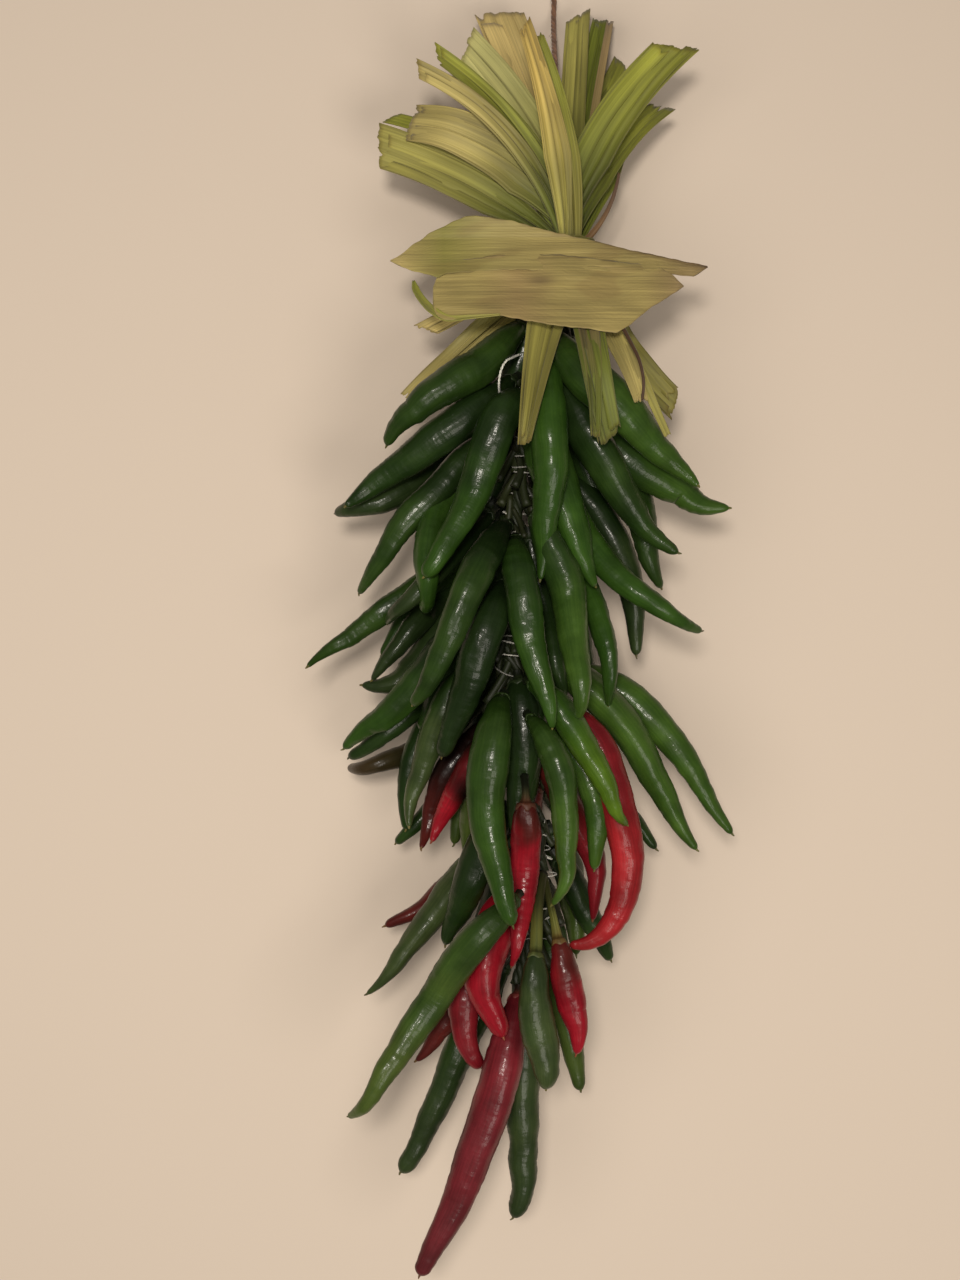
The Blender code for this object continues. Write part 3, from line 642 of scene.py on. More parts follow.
def centre_line(points, tip, rings):
    """Centres and radii of the rings, from the stem to the tip."""
    centres = [points[ring].mean(axis=0) for ring in rings]
    radii = []
    for ring, centre in zip(rings, centres):
        radii.append(np.linalg.norm(points[ring] - centre, axis=1).mean())
    return np.array(centres[::-1] + [points[tip]]), np.array(radii[::-1] + [0.0])


def loose_chilli(name):
    """Centres and radii of a loose chilli's solid, from its stem to its tip."""
    points, links = corners_and_links(name)
    for tip in range(len(points)):
        sides = len(links[tip])
        if sides not in (6, 8):
            continue
        rings, rest = rings_from(tip, links, sides)
        if not rest and len(rings) * sides + 1 == len(points):
            return centre_line(points, tip, rings)
    raise ValueError(f"{name} isn't a tube with one tip")


def inner_chillies():
    """(centres, greatest radius) of each chilli that is joined to the string's solid."""
    points, links = corners_and_links("string_and_inner_chillies")
    found = []
    for tip in range(len(points)):
        rings = rings_from(tip, links, 6)[0] if len(links[tip]) == 6 else []
        if not rings or np.linalg.norm(points[rings[0]] - points[tip], axis=1).max() > 20:
            continue
        if np.ptp(np.linalg.norm(points[rings[0]] - points[rings[0]].mean(axis=0), axis=1)) > 0.05:
            continue
        centres, radii = centre_line(points, tip, rings[:5])
        shown = min(len(rings), len(INNER_GIRTHS))
        wide = max(radii[-2 - k] / INNER_GIRTHS[k] for k in range(shown))
        if shown < len(INNER_GIRTHS):
            aside = np.interp(-centres[0, 1], *zip(*STRING_WANDER))
            knot = np.array([aside, centres[0, 1] + BACK_TO_STRING, 0.0])
            steps = even(6 - shown)[:-1, None]
            centres = np.vstack([knot + (centres[0] - knot) * steps, centres])
        found.append((centres, wide))
    return found


class Body:
    """A chilli's body: its line, its girth and the lobes, dents and wrinkles of its skin."""

    def __init__(self, centres, wide, body_start, rng, columns, curl, tip_share, neck, bare=False):
        run = run_of(centres)
        self.fine = np.linspace(0, run[-1], 260)
        line = spline(run, centres, self.fine)
        stem = run[body_start]
        self.start = stem if bare else TUCK
        self.length = run[-1] - self.start
        self.wide = wide
        self.top_share, shoulder = neck
        self.full = stem + shoulder * (run[-1] - stem)
        self.tip_share = tip_share
        self.cap = tip_share * wide * 1.5 / self.length
        self.power = rng.uniform(2.0, 2.7)
        self.columns = columns
        self.angle = ring_angles(columns)
        share = self.fine / run[-1]
        side = frames(line)[1] * (1, 1, 0)
        reach = rng.uniform(0.2, 0.6)
        sway = reach * np.sin(TURN * self.fine / rng.uniform(34, 60) + rng.uniform(0, 6))
        line = line + side * (sway * smooth(share * 4) * smooth((1 - share) * 4))[:, None]
        last = np.clip((share - 0.76) / 0.24, 0, 1)
        line[:, :2] += np.outer(2.6 * (last * last - last), curl)
        self.line = line
        self.frames = frames(line)
        self.field = Field(rng, 17)
        self.small = Field(rng, 6.5)
        self.patches = Field(rng, 24)
        self.twist = rng.uniform(-1.5, 1.5)
        self.phase = rng.uniform(0, TURN, 6)
        self.waves = rng.uniform(2.4, 5.2, 3)
        # Each dent: its place along and round the body, its length, its breadth and its depth
        ranges = ((0.1, 0.9), (0, TURN), (0.04, 0.12), (0.35, 0.8), (-0.1, 0.045))
        self.dents = [[rng.uniform(*limits) for limits in ranges] for _ in range(9)]

    def bend(self, dip=NO_DIP, shift=NO_SHIFT, lift=0.0):
        """Take its upper part down, its middle to the side and its top up, in millimetres."""
        share = self.fine / self.fine[-1]
        self.line[:, 2] -= dip[0] * (1 - smooth((share - 0.12) / (dip[1] - 0.12)))
        self.line[:, 0] += shift[1] * np.exp(-(((share - shift[0]) / 0.24) ** 2))
        self.line[:, 1] += lift * (1 - smooth(share / 0.4))
        self.frames = frames(self.line)

    def at(self, place):
        """(centres, tangents, sides, ups) at these places of its line."""
        return [read(place, self.fine, rows) for rows in (self.line, *self.frames)]

    def girth(self, u):
        place = self.start + self.length * np.clip(u, 0, 1)
        rise = np.clip((place - self.start) / (self.full - self.start), 0, 1)
        swell = 1 - (1 - self.top_share) * (1 - rise) ** 2
        late = np.clip((u - 0.22) / 0.78, 0, 1)
        taper = 1 - (1 - self.tip_share) * late**self.power
        into = np.clip((u - (1 - self.cap)) / self.cap, 0, 1)
        return np.maximum(self.wide * swell * taper * np.sqrt(1 - into**2 * 0.9999), 0.03)

    def surface(self, u, out=0.0):
        """Points of the body at shares u of its length, out millimetres off its skin."""
        u = np.broadcast_to(np.asarray(u, float).reshape(len(u), -1), (len(u), self.columns))
        mean = u.mean(axis=1)
        centre, ahead, side, up = self.at(self.start + self.length * np.clip(mean, 0, 1))
        angle = self.angle[None]
        lobes = 0.035 * np.cos(2 * angle + self.phase[0] + self.twist * u)
        lobes = lobes + 0.03 * np.cos(3 * angle + self.phase[1] - self.twist * u)
        for at, turn, spread, breadth, deep in self.dents:
            away = (angle - turn + math.pi) % TURN - math.pi
            lobes = lobes + deep * np.exp(-(((u - at) / spread) ** 2) - (away / breadth) ** 2)
        radius = self.girth(u) * (1 + lobes)
        around = outward(angle, side, up)
        rough = centre[:, None] + around * radius[..., None]
        run = u * self.length
        ripples = sum(
            np.sin(TURN * run / wave + self.phase[k] + 0.7 * np.cos(angle + self.phase[5 - k]))
            for k, wave in enumerate(self.waves)
        )
        wrinkled = 0.35 + 0.65 * smooth(0.5 + 0.9 * self.patches(rough))
        wave = 0.2 * self.field(rough) + 0.11 * self.small(rough) + 0.036 * ripples * wrinkled
        radius = radius + wave * np.minimum(1, self.girth(u) / 4) + out
        slide = (u - mean[:, None]) * self.length
        return centre[:, None] + around * radius[..., None] + ahead[:, None] * slide[..., None]


def chilli_surface(shell, body, tones, rng, rows, stem_radius=None, ripening=EVEN_RIPENING):
    """A chilli's body, calyx, stem and nib. Only one that hangs by a bare stem has a stem_radius."""
    top, tip = (linear(*TONES[tone]) * SKIN_GAIN for tone in tones.split())
    on_stem = stem_radius is not None
    share = (1 - np.cos(np.linspace(0, math.pi, rows))) / 2
    share = (0.3 * share + 0.7 * even(rows)) * (1 - body.cap)
    rounding = np.sin(np.linspace(0, math.pi / 2, CAP_ROWS)[1:])
    share = np.concatenate([share, 1 - body.cap + body.cap * rounding])
    skin = body.surface(share)
    mottle = body.patches(skin * 1.7 + 31)[..., None]
    ripe = share[:, None, None] * 1.25 - 0.12 + 0.2 * body.field(skin * 0.6)[..., None]
    blend = smooth((ripe - ripening[0]) / ripening[1])
    # Painted shade: each body is darker near its top, where it leaves the knot among the others
    shade = 1 - TOP_PAINTED_SHADE * (1 - smooth(share * 3))[:, None, None]
    color = (top + (tip - top) * blend) * (1 + 0.13 * mottle) * rng.uniform(0.9, 1.12) * shade
    grain = grain_of(skin.shape, share[:, None] * body.length, body.angle * body.wide, rng)
    shell.grid(skin, color, grain)

    end = body.line[-1]
    ahead = body.frames[0][-1]
    lean = body.frames[1][-1] * rng.uniform(-1, 1)
    out = np.linspace(-0.7, rng.uniform(0.7, 1.5), 7)[:, None]
    nib = end + ahead * out + lean * np.maximum(out, 0) ** 2 * 0.4
    thick = np.interp(out[:, 0], (-0.7, 0, 1.5), (0.62, 0.5, 0.16))
    nib_color = tip * 0.55 + linear(120, 104, 60) * rng.uniform(0.25, 0.6)
    shell.grid(swept(nib, thick, 8), nib_color, kind=1)

    lobed = 0.35 if on_stem else 1.0
    edge = 1.6 + lobed * (0.9 * np.cos(5 * body.angle + body.phase[1]) + 0.3 * np.cos(3 * body.angle))
    cap = []
    for at, lift in ((0.0, 0.3), (0.35, 0.36), (0.7, 0.34), (1.0, 0.18), (1.03, -0.15)):
        shares = np.broadcast_to(edge * at / body.length, (1, body.columns))
        cap.append(body.surface(shares, lift * lobed)[0])
    place = np.linspace(0, body.start, STEM_ROWS)
    centre, _, side, up = body.at(place)
    neck = body.girth(np.zeros(1))[0]
    left = body.start - place
    thin = stem_radius or STEM_RADIUS
    flare = (neck * 0.9 - thin) * np.exp(-left / (3.0 if on_stem else 1.2))
    radius = thin + 0.3 * np.exp(-place / 1.2) + flare
    radius = radius[:, None] * (1 + 0.06 * np.cos(5 * body.angle))[None]
    stem = centre[:, None] + outward(body.angle, side, up) * radius[..., None]
    whole = np.concatenate([stem, cap])
    stem_tone = (STEM_GREEN if on_stem else NECK_GREEN * 0.6) * rng.uniform(0.85, 1.15)
    cap_tone = top * 0.7 + stem_tone * 0.35
    # Painted shade: the stem darkens towards the knot, where the others hang over it
    painted_knot_shade = 0.25 + 0.75 * smooth(place * 2.2 / body.start - 0.9)
    mix = np.concatenate([np.exp(-left / 2.5), np.ones(len(cap))])[:, None, None]
    green = stem_tone + (cap_tone - stem_tone) * mix
    green = green * np.concatenate([painted_knot_shade, np.ones(len(cap))])[:, None, None]
    grain = grain_of(whole.shape, np.arange(len(whole))[:, None], body.angle * 1.6, rng)
    shell.grid(whole, green, grain, 1, end=False)


def neck_of(number):
    if number in FLAT_TOPS:
        return FLAT_NECK
    if number in ON_STEMS:
        return BARE_NECK
    return LONG_NECK if number == HOOKED else NECK


def add_chillies():
    for name in sorted(frame["nodes"]):
        if not name.startswith("chilli_"):
            continue
        _, number, slot = name.split("_")
        number = int(number)
        rng = chance("chilli", number)
        curl = CURLS.get(number) or rng.uniform(-1.4, 1.4, 2)
        centres, radii = loose_chilli(name)
        ring, part = HOOKED_STATION if number == HOOKED else LOOSE_STATION
        body = Body(
            centres, radii[ring] / part * WIDER.get(number, 1.0), 2, rng, BODY_COLUMNS, curl,
            BLUNT.get(number, rng.uniform(0.13, 0.22)), neck_of(number),
            number in ON_STEMS or number in FLAT_TOPS,
        )
        body.bend(DIPS.get(number, NO_DIP), SHIFTS.get(number, NO_SHIFT), LIFTS.get(number, 0.0))
        shell = Shell()
        rows = HOOKED_ROWS if number == HOOKED else BODY_ROWS
        ripening = RIPENING.get(number, EVEN_RIPENING)
        chilli_surface(shell, body, LOOKS[number], rng, rows, ON_STEMS.get(number), ripening)
        shell.build(f"fresh_{name}", [SKIN, STEM], f"chilli_{slot}", [name])


def add_inner():
    """The string, the stems and thread tangled round it, and the chillies tied close to it."""
    shell = Shell()
    rng = chance("inner")
    for centres, wide in inner_chillies():
        kind, wider, dip = "dark", 1.12, 0
        for place, *other in INNER_MARKED:
            if np.abs(centres[-1, :2] - place).sum() < 5:
                kind, wider, dip = other
        body = Body(
            centres, wide * wider, max(len(centres) - 5, 1), rng, INNER_COLUMNS, rng.uniform(-1, 1, 2),
            rng.uniform(0.24, 0.34), INNER_NECK,
        )
        body.bend((dip, 0.9))
        chilli_surface(shell, body, INNER_TONES[kind], rng, INNER_ROWS)

    for start, end, wide in COVERED:
        middle = (np.array(start) + end) / 2 + (0, 0, 2)
        line = through([start, tuple(middle), end], 7)
        body = Body(line, wide, 1, rng, INNER_COLUMNS, rng.uniform(-1, 1, 2), 0.3, INNER_NECK)
        # Painted shade: these covered tops take the dark inner tones
        chilli_surface(shell, body, INNER_TONES["dark"], rng, INNER_ROWS)

    string = evenly(through([(x, -drop, 0) for drop, x in STRING_WANDER], 400), 220)
    strands(shell, string, 2.4, 3, 13, NECK_GREEN * 0.4, rng, kind=1)
    run = run_of(string)
    for start in np.concatenate([np.arange(16, 58, 0.9), np.arange(58, 262, 1.9)]):
        foot = read(start, run, string)
        turn = rng.uniform(0, TURN)
        out = np.array([math.cos(turn), 0, math.sin(turn)])
        length = rng.uniform(11, 19) + (9 if start < 60 else 0)
        t = even(10)[:, None]
        along = np.array([rng.uniform(-0.4, 0.4), -1, 0])
        stem = foot + out * (1.5 + rng.uniform(3, 7) * t**1.4) + along * length * (t - 0.35)
        stem = stem + np.cross(out, along) * rng.uniform(-3, 3) * np.sin(math.pi * t)
        # The stems' own dark green, darkened further with painted shade inside the tangle
        tone = NECK_GREEN * rng.uniform(0.2, 0.5) + linear(90, 84, 44) * rng.uniform(0, 0.07)
        radii = rng.uniform(1.0, 1.6) * (1 + 0.25 * t[:, 0] ** 3)
        shell.grid(swept(stem, radii, 7), tone, kind=1)
    for start in np.arange(36, 262, 5.2):
        foot = read(start + rng.uniform(-2, 2), run, string)
        t = even(26)
        angle = rng.uniform(0, TURN) + rng.uniform(2.5, 5.5) * t
        reach = rng.uniform(3.4, 5.2) + rng.uniform(0.6, 2.4) * np.sin(math.pi * t)
        rise = rng.uniform(-4, 4) * t + rng.uniform(-1.5, 1.5) * np.sin(TURN * t)
        bit = foot + np.stack([np.cos(angle) * reach, rise, np.sin(angle) * reach], axis=1)
        radius = rng.uniform(0.26, 0.42)
        tone = COTTON_WHITE * rng.uniform(0.35, 0.9)
        strands(shell, bit, radius, 2, 2.4, tone, rng, 5, kind=2)
    loose = evenly(through(LOOSE_THREAD, 60), 50)
    strands(shell, loose, 0.5, 2, 3, COTTON_WHITE, rng, 8, kind=2)
    materials = [SKIN, STEM, COTTON]
    shell.build(
        "string_with_inner_chillies", materials, "inner_chillies", ["string_and_inner_chillies"]
    )


add_chillies()
add_inner()

# ---- husk

STRIP_ROWS = (0, 0.14, 0.32, 0.52, 0.7, 0.86, 1)  # shares of a strip where its solid gives its height
RIBBON_ROWS = 46
BAND_ROWS = 150
BAND_COLUMNS = 54
CURL_ROWS = 70
CURL_COLUMNS = 9
STRAND_ROWS = 60
STRAND_COLUMNS = 8
BUNDLE_WIDTH = 9.0
ROOT_GAP = 1.5
TIE_RING = 9.2
TIE_TURNS = 7
TIE_PITCH = 0.87  # from one turn of the tie to the next
HUSK_THICK = 0.35
WIDE_STRIP = 6  # strips wider than this have two more sheets over them
STRIP_WIDTH = 3  # its place among a strip's numbers
# Husk colours, as they look on a screen. "deep" is a root's green darkened with painted shade where it
# goes in under the tie
HUSKS = {
    "cream": (182, 162, 104), "straw": (153, 140, 84), "butter": (162, 140, 74), "lime": (137, 131, 66),
    "leaf": (118, 120, 42), "grass": (92, 100, 30), "moss": (82, 88, 30), "olive": (106, 101, 44),
    "tan": (146, 124, 84), "brown": (104, 78, 48), "plum": (104, 84, 62), "bark": (72, 50, 32),
    "pale": (168, 164, 104), "deep": (70, 76, 24), "bleached": (158, 142, 86), "blushed": (152, 131, 84),
}
HUSK_GAIN = 1.12  # the husk's own colours against the tones that they have among their shadows
# Each leaf: node, height of its root, upwards or downwards, its strips: reach, rise, lean, width,
# end width, cut, curl, pleats, colour at the root, colour at the end
LEAVES = (
    ("husk_front", 4.9, 1, (
        (-17, 79, 3, 10, 5, 2, 1.2, 3, "lime", "butter"), (-12, 77, 4, 7, 4, 0, 0.6, 2, "olive", "leaf"),
    )),
    # Roots toned "deep" carry painted shade under the tie
    ("husk_left_high", 3.7, 1, (
        (-56, 64, 10, 7, 6.5, 2, 0.8, 2, "deep", "straw"), (-49, 71, 8, 8, 6, 3, 0.8, 2, "deep", "leaf"),
    )),
    ("husk_left", 2.1, 1, (
        (-71, 40, 3, 14, 16, 3, 1.0, 3, "moss", "lime"), (-67, 53, 8, 6, 5, -3, 0.6, 1, "grass", "leaf"),
        (-59, 48, 10, 20, 14, -1, 1.2, 3, "moss", "straw"),
    )),
    # Roots toned "deep" carry painted shade under the tie
    ("husk_right", -2.2, 1, (
        (39, 76, -7, 15, 14, 5, 1.4, 3, "deep", "leaf"), (36, 59, -5, 10, 8, 3, 0.6, 2, "deep", "leaf"),
        (18, 28, 3, 1.8, 0.9, 0, 0.2, 1, "brown", "bark"),
    )),
    ("husk_back", -3.5, 1, (
        (-40, 77, 6, 23, 19, 4, 1.0, 3, "leaf", "pale"),
        (-26, 98, 2, 16, 18, -3, 1.2, 3, "straw", "cream"),
    )),
    ("husk_right_high", -4.8, 1, (
        (5, 98, 0, 10, 9, 3, 0.8, 2, "moss", "lime"), (14, 98, -2, 8, 6, 0, 0.6, 2, "moss", "grass"),
        (17.5, 97, -1, 3.2, 2.6, 0, 0.3, 1, "olive", "tan"),
    )),
    ("husk_right_back", -6.1, 1, ((26, 78, -1, 20, 17, -4, 1.0, 3, "grass", "leaf"),)),
    ("husk_tail_middle", 3.8, -1, (
        (12.5, -73, 2, 11, 9, 2, 1.0, 2, "moss", "moss"), (7, -73, -2, 8, 3, 0, 1.2, 1, "plum", "moss"),
        (-18, -76, 1, 13, 4.2, 1, 2.4, 2, "lime", "olive"),
    )),
    ("husk_tail_right", 2.4, -1, (
        (38, -58, 4, 10, 10, 3, 0.8, 2, "olive", "olive"),
        (33, -72, -1, 5, 2.5, 0, 0.4, 1, "straw", "lime"),
        (23, -60, -3, 11, 5, 0, 0.8, 2, "olive", "straw"),
    )),
    ("husk_tail_left", -2.4, -1, (
        (-57, -57, 1, 7, 4, 0, 0.8, 2, "olive", "straw"),
        (-60.5, -55.5, 2, 6, 3.4, 0, 0.6, 2, "moss", "straw"),
        (-53, -30, 0, 7, 7, 3, 0.4, 1, "bleached", "bleached"),
    )),
)
CURLED_STRIP = (
    (-57.4, -14, 12), (-56.5, -17.5, 14.5), (-54.9, -20.8, 17.5), (-52.5, -24.3, 21), (-49.8, -27.4, 25),
    (-44.7, -30.4, 27), (-36.9, -30.2, 28.2), (-26.1, -29.4, 28.8),
)
DARK_STRAND = (
    (15.8, -30.5, 27.5), (19.5, -39, 32), (22.4, -46, 35), (23.9, -53.4, 36), (23.6, -60.3, 35),
)
# The broad husk's two leaves across the front: their upper and their lower edges, from left to right
BAND_UPPER = (
    ((-65.7, -6.9), (-62.4, -4.6), (-58.1, -0.9), (-52.4, 3.7), (-45.7, 6.9), (-39.0, 9.6),
     (-34.6, 10.0), (-20.6, 7.9), (-10.4, 5.0), (5.5, 1.1), (23.2, -3.3), (39.1, -6.9), (49.1, -8.9)),
    ((-65.7, -7.1), (-62.0, -9.2), (-58.6, -10.8), (-48.4, -14.2), (-45.2, -12.5), (-26.1, -11.0),
     (-4.5, -11.1), (17.1, -11.7), (35.4, -12.5), (43.9, -13.1), (49.1, -9.3)),
)
BAND_LOWER = (
    ((-50.1, -17.9), (-48.8, -13.7), (-45.2, -7.7), (-26.1, -5.1), (-4.4, -5.2), (17.2, -7.9),
     (31.6, -10.1), (35.9, -12.8), (39.8, -17.3)),
    ((-50.1, -24.9), (-48.9, -29.2), (-47.0, -30.8), (-40.7, -30.7), (-35.8, -30.0), (-29.6, -29.4),
     (-24.6, -29.5), (-17.2, -31.5), (-6.1, -33.2), (3.7, -34.3), (14.8, -36.2), (19.9, -32.8),
     (25.3, -27.8), (30.3, -24.1), (39.8, -17.5)),
)
BAND_LIFT = 11.9
BAND_GAIN = 0.8
BAND_STAIN = (-11.5, -15.5)
BAND_SPREAD = (4.6, 2.2)  # of the stain, along and across


def husk_tone(name):
    return linear(*HUSKS[name]) * HUSK_GAIN


def strip_plan(strip, root, root_width, shares):
    """(middles, half widths to the right, slants) seen from above, at shares of a strip's length."""
    reach, rise, lean, width, end_width, cut = strip[:6]
    end = np.array([reach, rise], float)
    along = unit(end - root)
    bend = (root + end) / 2 + np.array([along[1], -along[0]]) * lean * 2
    t = np.asarray(shares, float)[:, None]
    middle = (1 - t) ** 2 * root + 2 * t * (1 - t) * bend + t**2 * end
    ahead = unit(2 * (1 - t) * (bend - root) + 2 * t * (end - bend))
    right = np.stack([ahead[:, 1], -ahead[:, 0]], axis=1)
    widths = np.interp(t[:, 0], (0, 0.4, 1), (root_width, width, end_width))
    return middle, right * widths[:, None] / 2, ahead * cut * t**4


def heights_of(corners, places):
    """Heights of a leaf's middle surface at these places: the mean of the two corners nearest."""
    found = []
    for place in places:
        near = np.argsort(np.linalg.norm(corners[:, :2] - place, axis=1))[:2]
        found.append(corners[near, 2].mean())
    return np.array(found)


def torn_end(count, rng):
    """How far each of count fibres of a strip's end stands out, with a few deeper tears."""
    out = np.cumsum(rng.normal(0, 0.2, count))
    out = out - np.linspace(out[0], out[-1], count) * 0.7
    for _ in range(rng.integers(0, 3)):
        at, breadth, deep = rng.uniform(0, count), rng.uniform(0.8, 2.2), rng.uniform(0.6, 2.4)
        out = out - deep * np.exp(-(((np.arange(count) - at) / breadth) ** 2))
    return out + rng.normal(0, 0.12, count) - out.mean()


def rim(grid):
    """A grid's outermost corners, in order round it."""
    return np.concatenate([grid[0, :-1], grid[:-1, -1], grid[-1, :0:-1], grid[:0:-1, 0]])


def add_sheet(shell, points, color, grain):
    """A thin closed sheet of husk: its upper face, its lower face and the rim between them."""
    along = np.gradient(points, axis=0)
    across = np.gradient(points, axis=1)
    out = unit(np.cross(across, along)) * HUSK_THICK / 2
    first = shell.count
    shell.grid(points + out, color, grain, round_=False)
    shell.grid((points - out)[:, ::-1], color[:, ::-1] * 0.95, grain[:, ::-1], round_=False)
    rows, columns = points.shape[:2]
    index = first + np.arange(rows * columns).reshape(rows, columns)
    edge = rim(index)
    under = rim(index[:, ::-1] + rows * columns)
    for a, b, c, d in zip(edge, np.roll(edge, -1), np.roll(under, -1), under):
        shell.faces.append([int(a), int(d), int(c), int(b)])
        shell.kinds.append(0)


def ribbon(shell, strip, root, width, heights, rng, sheet=(-1, 1, 0, 1, 1)):
    """One strip of husk. sheet: from and to which share across it, its lift, length and tone."""
    low_share, high_share, lift, length, tone_change = sheet
    curl, pleats, *tones = strip[6:]
    shares = even(RIBBON_ROWS)
    z = spline(STRIP_ROWS, heights[:, None], shares)[:, 0]
    middle, half, slant = strip_plan(strip, root, width, shares * length)
    z = np.interp(shares * length, shares, z)
    half_width = np.linalg.norm(half, axis=1).max()
    widest = half_width * (high_share - low_share)
    columns = int(np.clip(widest / 0.45, 7, 28))
    across = np.linspace(low_share, high_share, columns)
    wander = 0.06 * np.sin(shares * rng.uniform(3, 7) + rng.uniform(0, 6))[:, None]
    spread = across[None] + wander * shares[:, None]
    points = np.empty((RIBBON_ROWS, columns, 3))
    points[..., :2] = middle[:, None] + half[:, None] * spread[..., None]
    points[..., :2] += slant[:, None] * across[None, :, None]
    ahead = unit(middle[-1] - middle[-2])
    ragged = torn_end(columns, rng) * min(1, widest / 5)
    points[..., :2] += (shares**9)[:, None, None] * ragged[None, :, None] * ahead
    fibre = across * half_width
    waves = pleats * math.pi * across + rng.uniform(0, 6)
    fold = 0.7 * np.exp(-shares / 0.3) + 0.18 + 0.15 * np.sin(shares * 5 + rng.uniform(0, 6))
    ribs = 0.05 * np.sin(fibre * 5.2 + rng.uniform(0, 6))
    ribs = ribs + 0.04 * np.sin(fibre * 8.7 + rng.uniform(0, 6))
    crown = curl * (across[None] ** 2 - 0.3) * smooth(shares * 3)[:, None]
    points[..., 2] = z[:, None] + lift + crown
    grown = smooth(shares * 8)[:, None]
    points[..., 2] += (np.sin(waves)[None] * fold[:, None] * min(1, widest / 6) + ribs[None]) * grown
    points[..., 2] += 0.7 * Field(rng, 34)(points) * shares[:, None]
    root_tone, end_tone = (husk_tone(tone) for tone in tones)
    turn = smooth((shares - 0.12) * 1.25)[:, None, None]
    color = root_tone + (end_tone - root_tone) * turn
    lanes = Field(rng, 3.2).along(fibre)
    threads = Field(rng, 0.9).along(fibre)
    drift = Field(rng, 26)(points)
    streaks = (1 + 0.13 * lanes + 0.08 * threads)[None, :, None]
    color = color * streaks * (1 + 0.1 * drift)[..., None] * tone_change
    edge = (np.abs(np.linspace(-1, 1, columns)) ** 6)[None, :, None] * 0.1
    worn = np.clip(edge + 0.3 * np.clip((shares - 0.97) / 0.03, 0, 1)[:, None, None], 0, 0.75)
    color = color + (husk_tone("brown") - color) * worn * rng.uniform(0.5, 1.1)
    reach = (shares * np.linalg.norm(middle[-1] - middle[0]))[:, None]
    add_sheet(shell, points, np.clip(color, 0, 1), grain_of(points.shape, reach, fibre, rng))


def even_grain(rows, columns, rng):
    return grain_of((rows, columns, 3), np.arange(rows)[:, None] * 0.5, np.arange(columns) * 0.5, rng)


def add_curled_strip(shell, rng):
    curl = evenly(through(CURLED_STRIP, 90), CURL_ROWS)
    share = even(CURL_ROWS)
    across = np.linspace(-1, 1, CURL_COLUMNS)
    grown = np.interp(share, (0, 0.08, 0.5, 1), (0.3, 1.2, 1.7, 0.3))
    _, side, up = frames(curl)
    points = curl[:, None] + side[:, None] * (across[None] * grown[:, None])[..., None]
    points = points + up[:, None] * (across[None, :, None] ** 2 * 0.6)
    tone = husk_tone("leaf") + (husk_tone("lime") - husk_tone("leaf")) * share[:, None, None]
    color = np.broadcast_to(tone, points.shape)
    add_sheet(shell, points, color, even_grain(CURL_ROWS, CURL_COLUMNS, rng))


def add_dark_strand(shell, rng):
    radii = np.linspace(0.75, 0.45, STRAND_ROWS)
    points = swept(through(DARK_STRAND, STRAND_ROWS), radii, STRAND_COLUMNS)
    shell.grid(points, husk_tone("bark") * 0.8, even_grain(STRAND_ROWS, STRAND_COLUMNS, rng))


def add_leaf(name, height, way, strips, rng):
    corners, _ = corners_and_links(name)
    leaf_width = BUNDLE_WIDTH * math.sqrt(1 - (height / TIE_RING) ** 2)
    width = leaf_width / len(strips)
    shell = Shell()
    for number, strip in enumerate(strips):
        root = np.array([(number + 0.5) * width - leaf_width / 2, ROOT_GAP]) * way
        heights = heights_of(corners, strip_plan(strip, root, width, STRIP_ROWS)[0])
        ribbon(shell, strip, root, width, heights, rng)
        if strip[STRIP_WIDTH] > WIDE_STRIP:
            side = rng.choice((-1, 1))
            middle = side * rng.uniform(0.25, 0.5)
            sheet = (middle - 0.42, middle + 0.42, 0.6, rng.uniform(0.95, 1.0), rng.uniform(1.06, 1.18))
            ribbon(shell, strip, root, width, heights, rng, sheet)
            ends = sorted((-side * 0.95, -side * 0.95 + side * 0.5))
            sheet = (*ends, 0.5, rng.uniform(0.96, 1.01), rng.uniform(0.75, 0.9))
            ribbon(shell, strip, root, width, heights, rng, sheet)
    if name == "husk_tail_left":
        add_curled_strip(shell, rng)
    if name == "husk_tail_right":
        add_dark_strand(shell, rng)
    shell.build(name.replace("husk", "corn_husk"), [HUSK], "husk", [name])


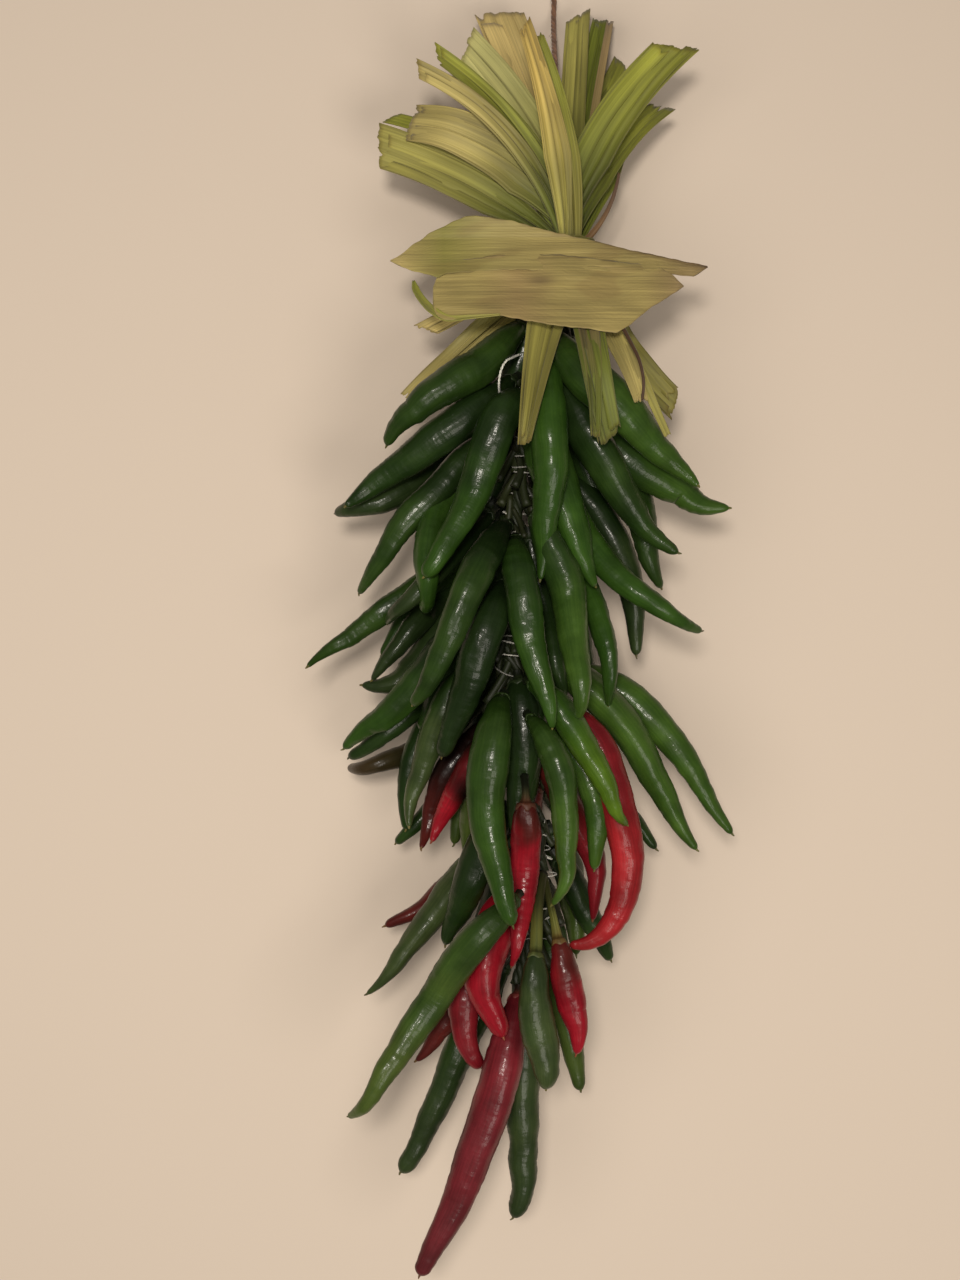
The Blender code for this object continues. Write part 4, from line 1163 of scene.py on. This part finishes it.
def band_leaf(shell, edges, lift, rng, tones, browned):
    """One leaf of the broad husk: fibres along it and a worn upper edge."""
    upper, lower = (np.array(edge, float) for edge in edges)
    along = even(BAND_ROWS)
    x = upper[0, 0] + (upper[-1, 0] - upper[0, 0]) * along
    top = np.interp(x, *upper.T) + 0.16 * Field(rng, 5).along(x)
    bottom = np.interp(x, *lower.T) + 0.16 * Field(rng, 5).along(x)
    share = even(BAND_COLUMNS)
    y = bottom[:, None] + (top - bottom)[:, None] * share[None]
    points = np.stack([np.broadcast_to(x[:, None], y.shape), y, np.zeros(y.shape)], axis=-1)
    lane = (share - 0.5) * 26
    points[..., 2] = BAND_LIFT + lift - (x[:, None] + 8) ** 2 / 900 + 0.53 * np.maximum(0, 2 - y)
    points[..., 2] += (0.04 * np.sin(lane * 4.1) + 0.03 * np.sin(lane * 7.3 + 1))[None]
    points[..., 2] += 0.55 * Field(rng, 30)(points) + 0.22 * Field(rng, 7)(points * (0.35, 1, 0))
    stops = even(len(tones))
    color = read(along, stops, np.array([husk_tone(tone) for tone in tones]))[:, None]
    along = along[:, None, None]
    streaks = Field(rng, 2.6)(points * (0.05, 1, 0))[..., None]
    threads = Field(rng, 0.8)(points * (0.03, 1, 0))[..., None]
    drift = Field(rng, 22)(points)[..., None]
    color = color * (1 + 0.07 * streaks + 0.05 * threads + 0.07 * drift) * BAND_GAIN
    bruise = smooth(1.6 * Field(rng, 12)(points * (0.4, 1, 0)) - 0.75)[..., None]
    color = color + (husk_tone("brown") - color) * 0.22 * bruise
    worn = 0.6 * np.exp(-(1 - share) / 0.03) + 0.3 * np.exp(-share / 0.02)
    worn = worn[None, :, None] * smooth(0.5 + 0.8 * Field(rng, 9)(points))[..., None]
    worn = worn * smooth(along * 2.2 + 0.15)
    worn = worn + browned * np.exp((y - top[:, None]) / 1.4)[..., None] * smooth(along * 3.2 - 1.7)
    color = color + (husk_tone("bark") - color) * np.clip(worn, 0, 0.8)
    away = np.linalg.norm((points[..., :2] - BAND_STAIN) / BAND_SPREAD, axis=-1)[..., None]
    color = color + (husk_tone("plum") * 0.75 - color) * 0.55 * np.exp(-(away**2))
    add_sheet(shell, points, np.clip(color, 0, 1), grain_of(points.shape, x[:, None], y, rng))


def add_front_husk():
    """The broad husk across the front of the tie: two leaves, bare."""
    rng = chance("band")
    shell = Shell()
    tones = ("bleached", "bleached", "blushed", "bleached", "bleached", "bleached", "tan")
    band_leaf(shell, BAND_LOWER, -0.15, rng, tones, 0.0)
    tones = ("cream", "lime", "straw", "bleached", "bleached", "bleached", "tan")
    band_leaf(shell, BAND_UPPER, 0.2, rng, tones, 0.85)
    shell.build("corn_husk_front_band", [HUSK], "husk", ["husk_front_band"])


def add_tie():
    """The band round the bundle: strands of husk wound about it."""
    rng = chance("tie")
    shell = Shell()
    angle = np.linspace(0, TURN, 90)
    for turn in range(TIE_TURNS):
        y = -2.6 + TIE_PITCH * turn + 0.4 * np.sin(angle + turn)
        radius = TIE_RING + 0.3 * rng.uniform(-1, 1)
        wind = np.stack([radius * np.cos(angle), y, radius * 0.93 * np.sin(angle)], axis=1)
        strands(shell, wind, 0.75, 2, 12, husk_tone("olive"), rng, 8)
    shell.build("husk_tie_band", [HUSK], "husk_tie", ["tie"])


for index, leaf in enumerate(LEAVES):
    add_leaf(*leaf, chance("leaf", index))
add_front_husk()
add_tie()

# ---- floor and light

FLOOR_REACH = 3.0
LIGHT_COLOR = (1, 0.93, 0.84)
LIT_PLACE = (-20, -130, 0)  # the middle of the string, which the lights face
WORLD_COLOR = (1.0, 0.94, 0.88, 1)


def add_floor():
    mesh = bpy.data.meshes.new("table_top")
    corners = [(x * FLOOR_REACH, y * FLOOR_REACH, 0) for x, y in ((-1, -1), (1, -1), (1, 1), (-1, 1))]
    mesh.from_pydata(corners, [], [(0, 1, 2, 3)])
    floor = placed("table_top", mesh)
    made, _, shader = new_material("pale floor", 0.85, 0.1)
    shader.inputs["Base Color"].default_value = (*linear(203, 189, 174), 1)
    mesh.materials.append(made)


def add_light(name, place, size, power, glints):
    """A soft area light that faces the string, with or without its own glints on what shines."""
    data = bpy.data.lights.new(name, "AREA")
    data.shape = "DISK"
    data.size = size
    data.energy = power
    data.color = LIGHT_COLOR
    made = placed(name, data)
    made.location = world(place)
    made.visible_glossy = glints
    ahead = Vector(world(LIT_PLACE)) - made.location
    made.rotation_euler = ahead.to_track_quat("-Z", "Y").to_euler()


add_floor()
add_light("key", (-90, -20, 1050), 0.16, 6.3, True)
add_light("window", (300, -520, 900), 0.45, 4.0, True)
add_light("fill", (-420, -300, 950), 0.9, 3.6, False)
studio = bpy.data.worlds.new("studio")
studio.use_nodes = True
background = studio.node_tree.nodes["Background"]
background.inputs["Color"].default_value = WORLD_COLOR
background.inputs["Strength"].default_value = 0.15
bpy.context.scene.world = studio
bpy.context.scene.view_settings.view_transform = "Standard"
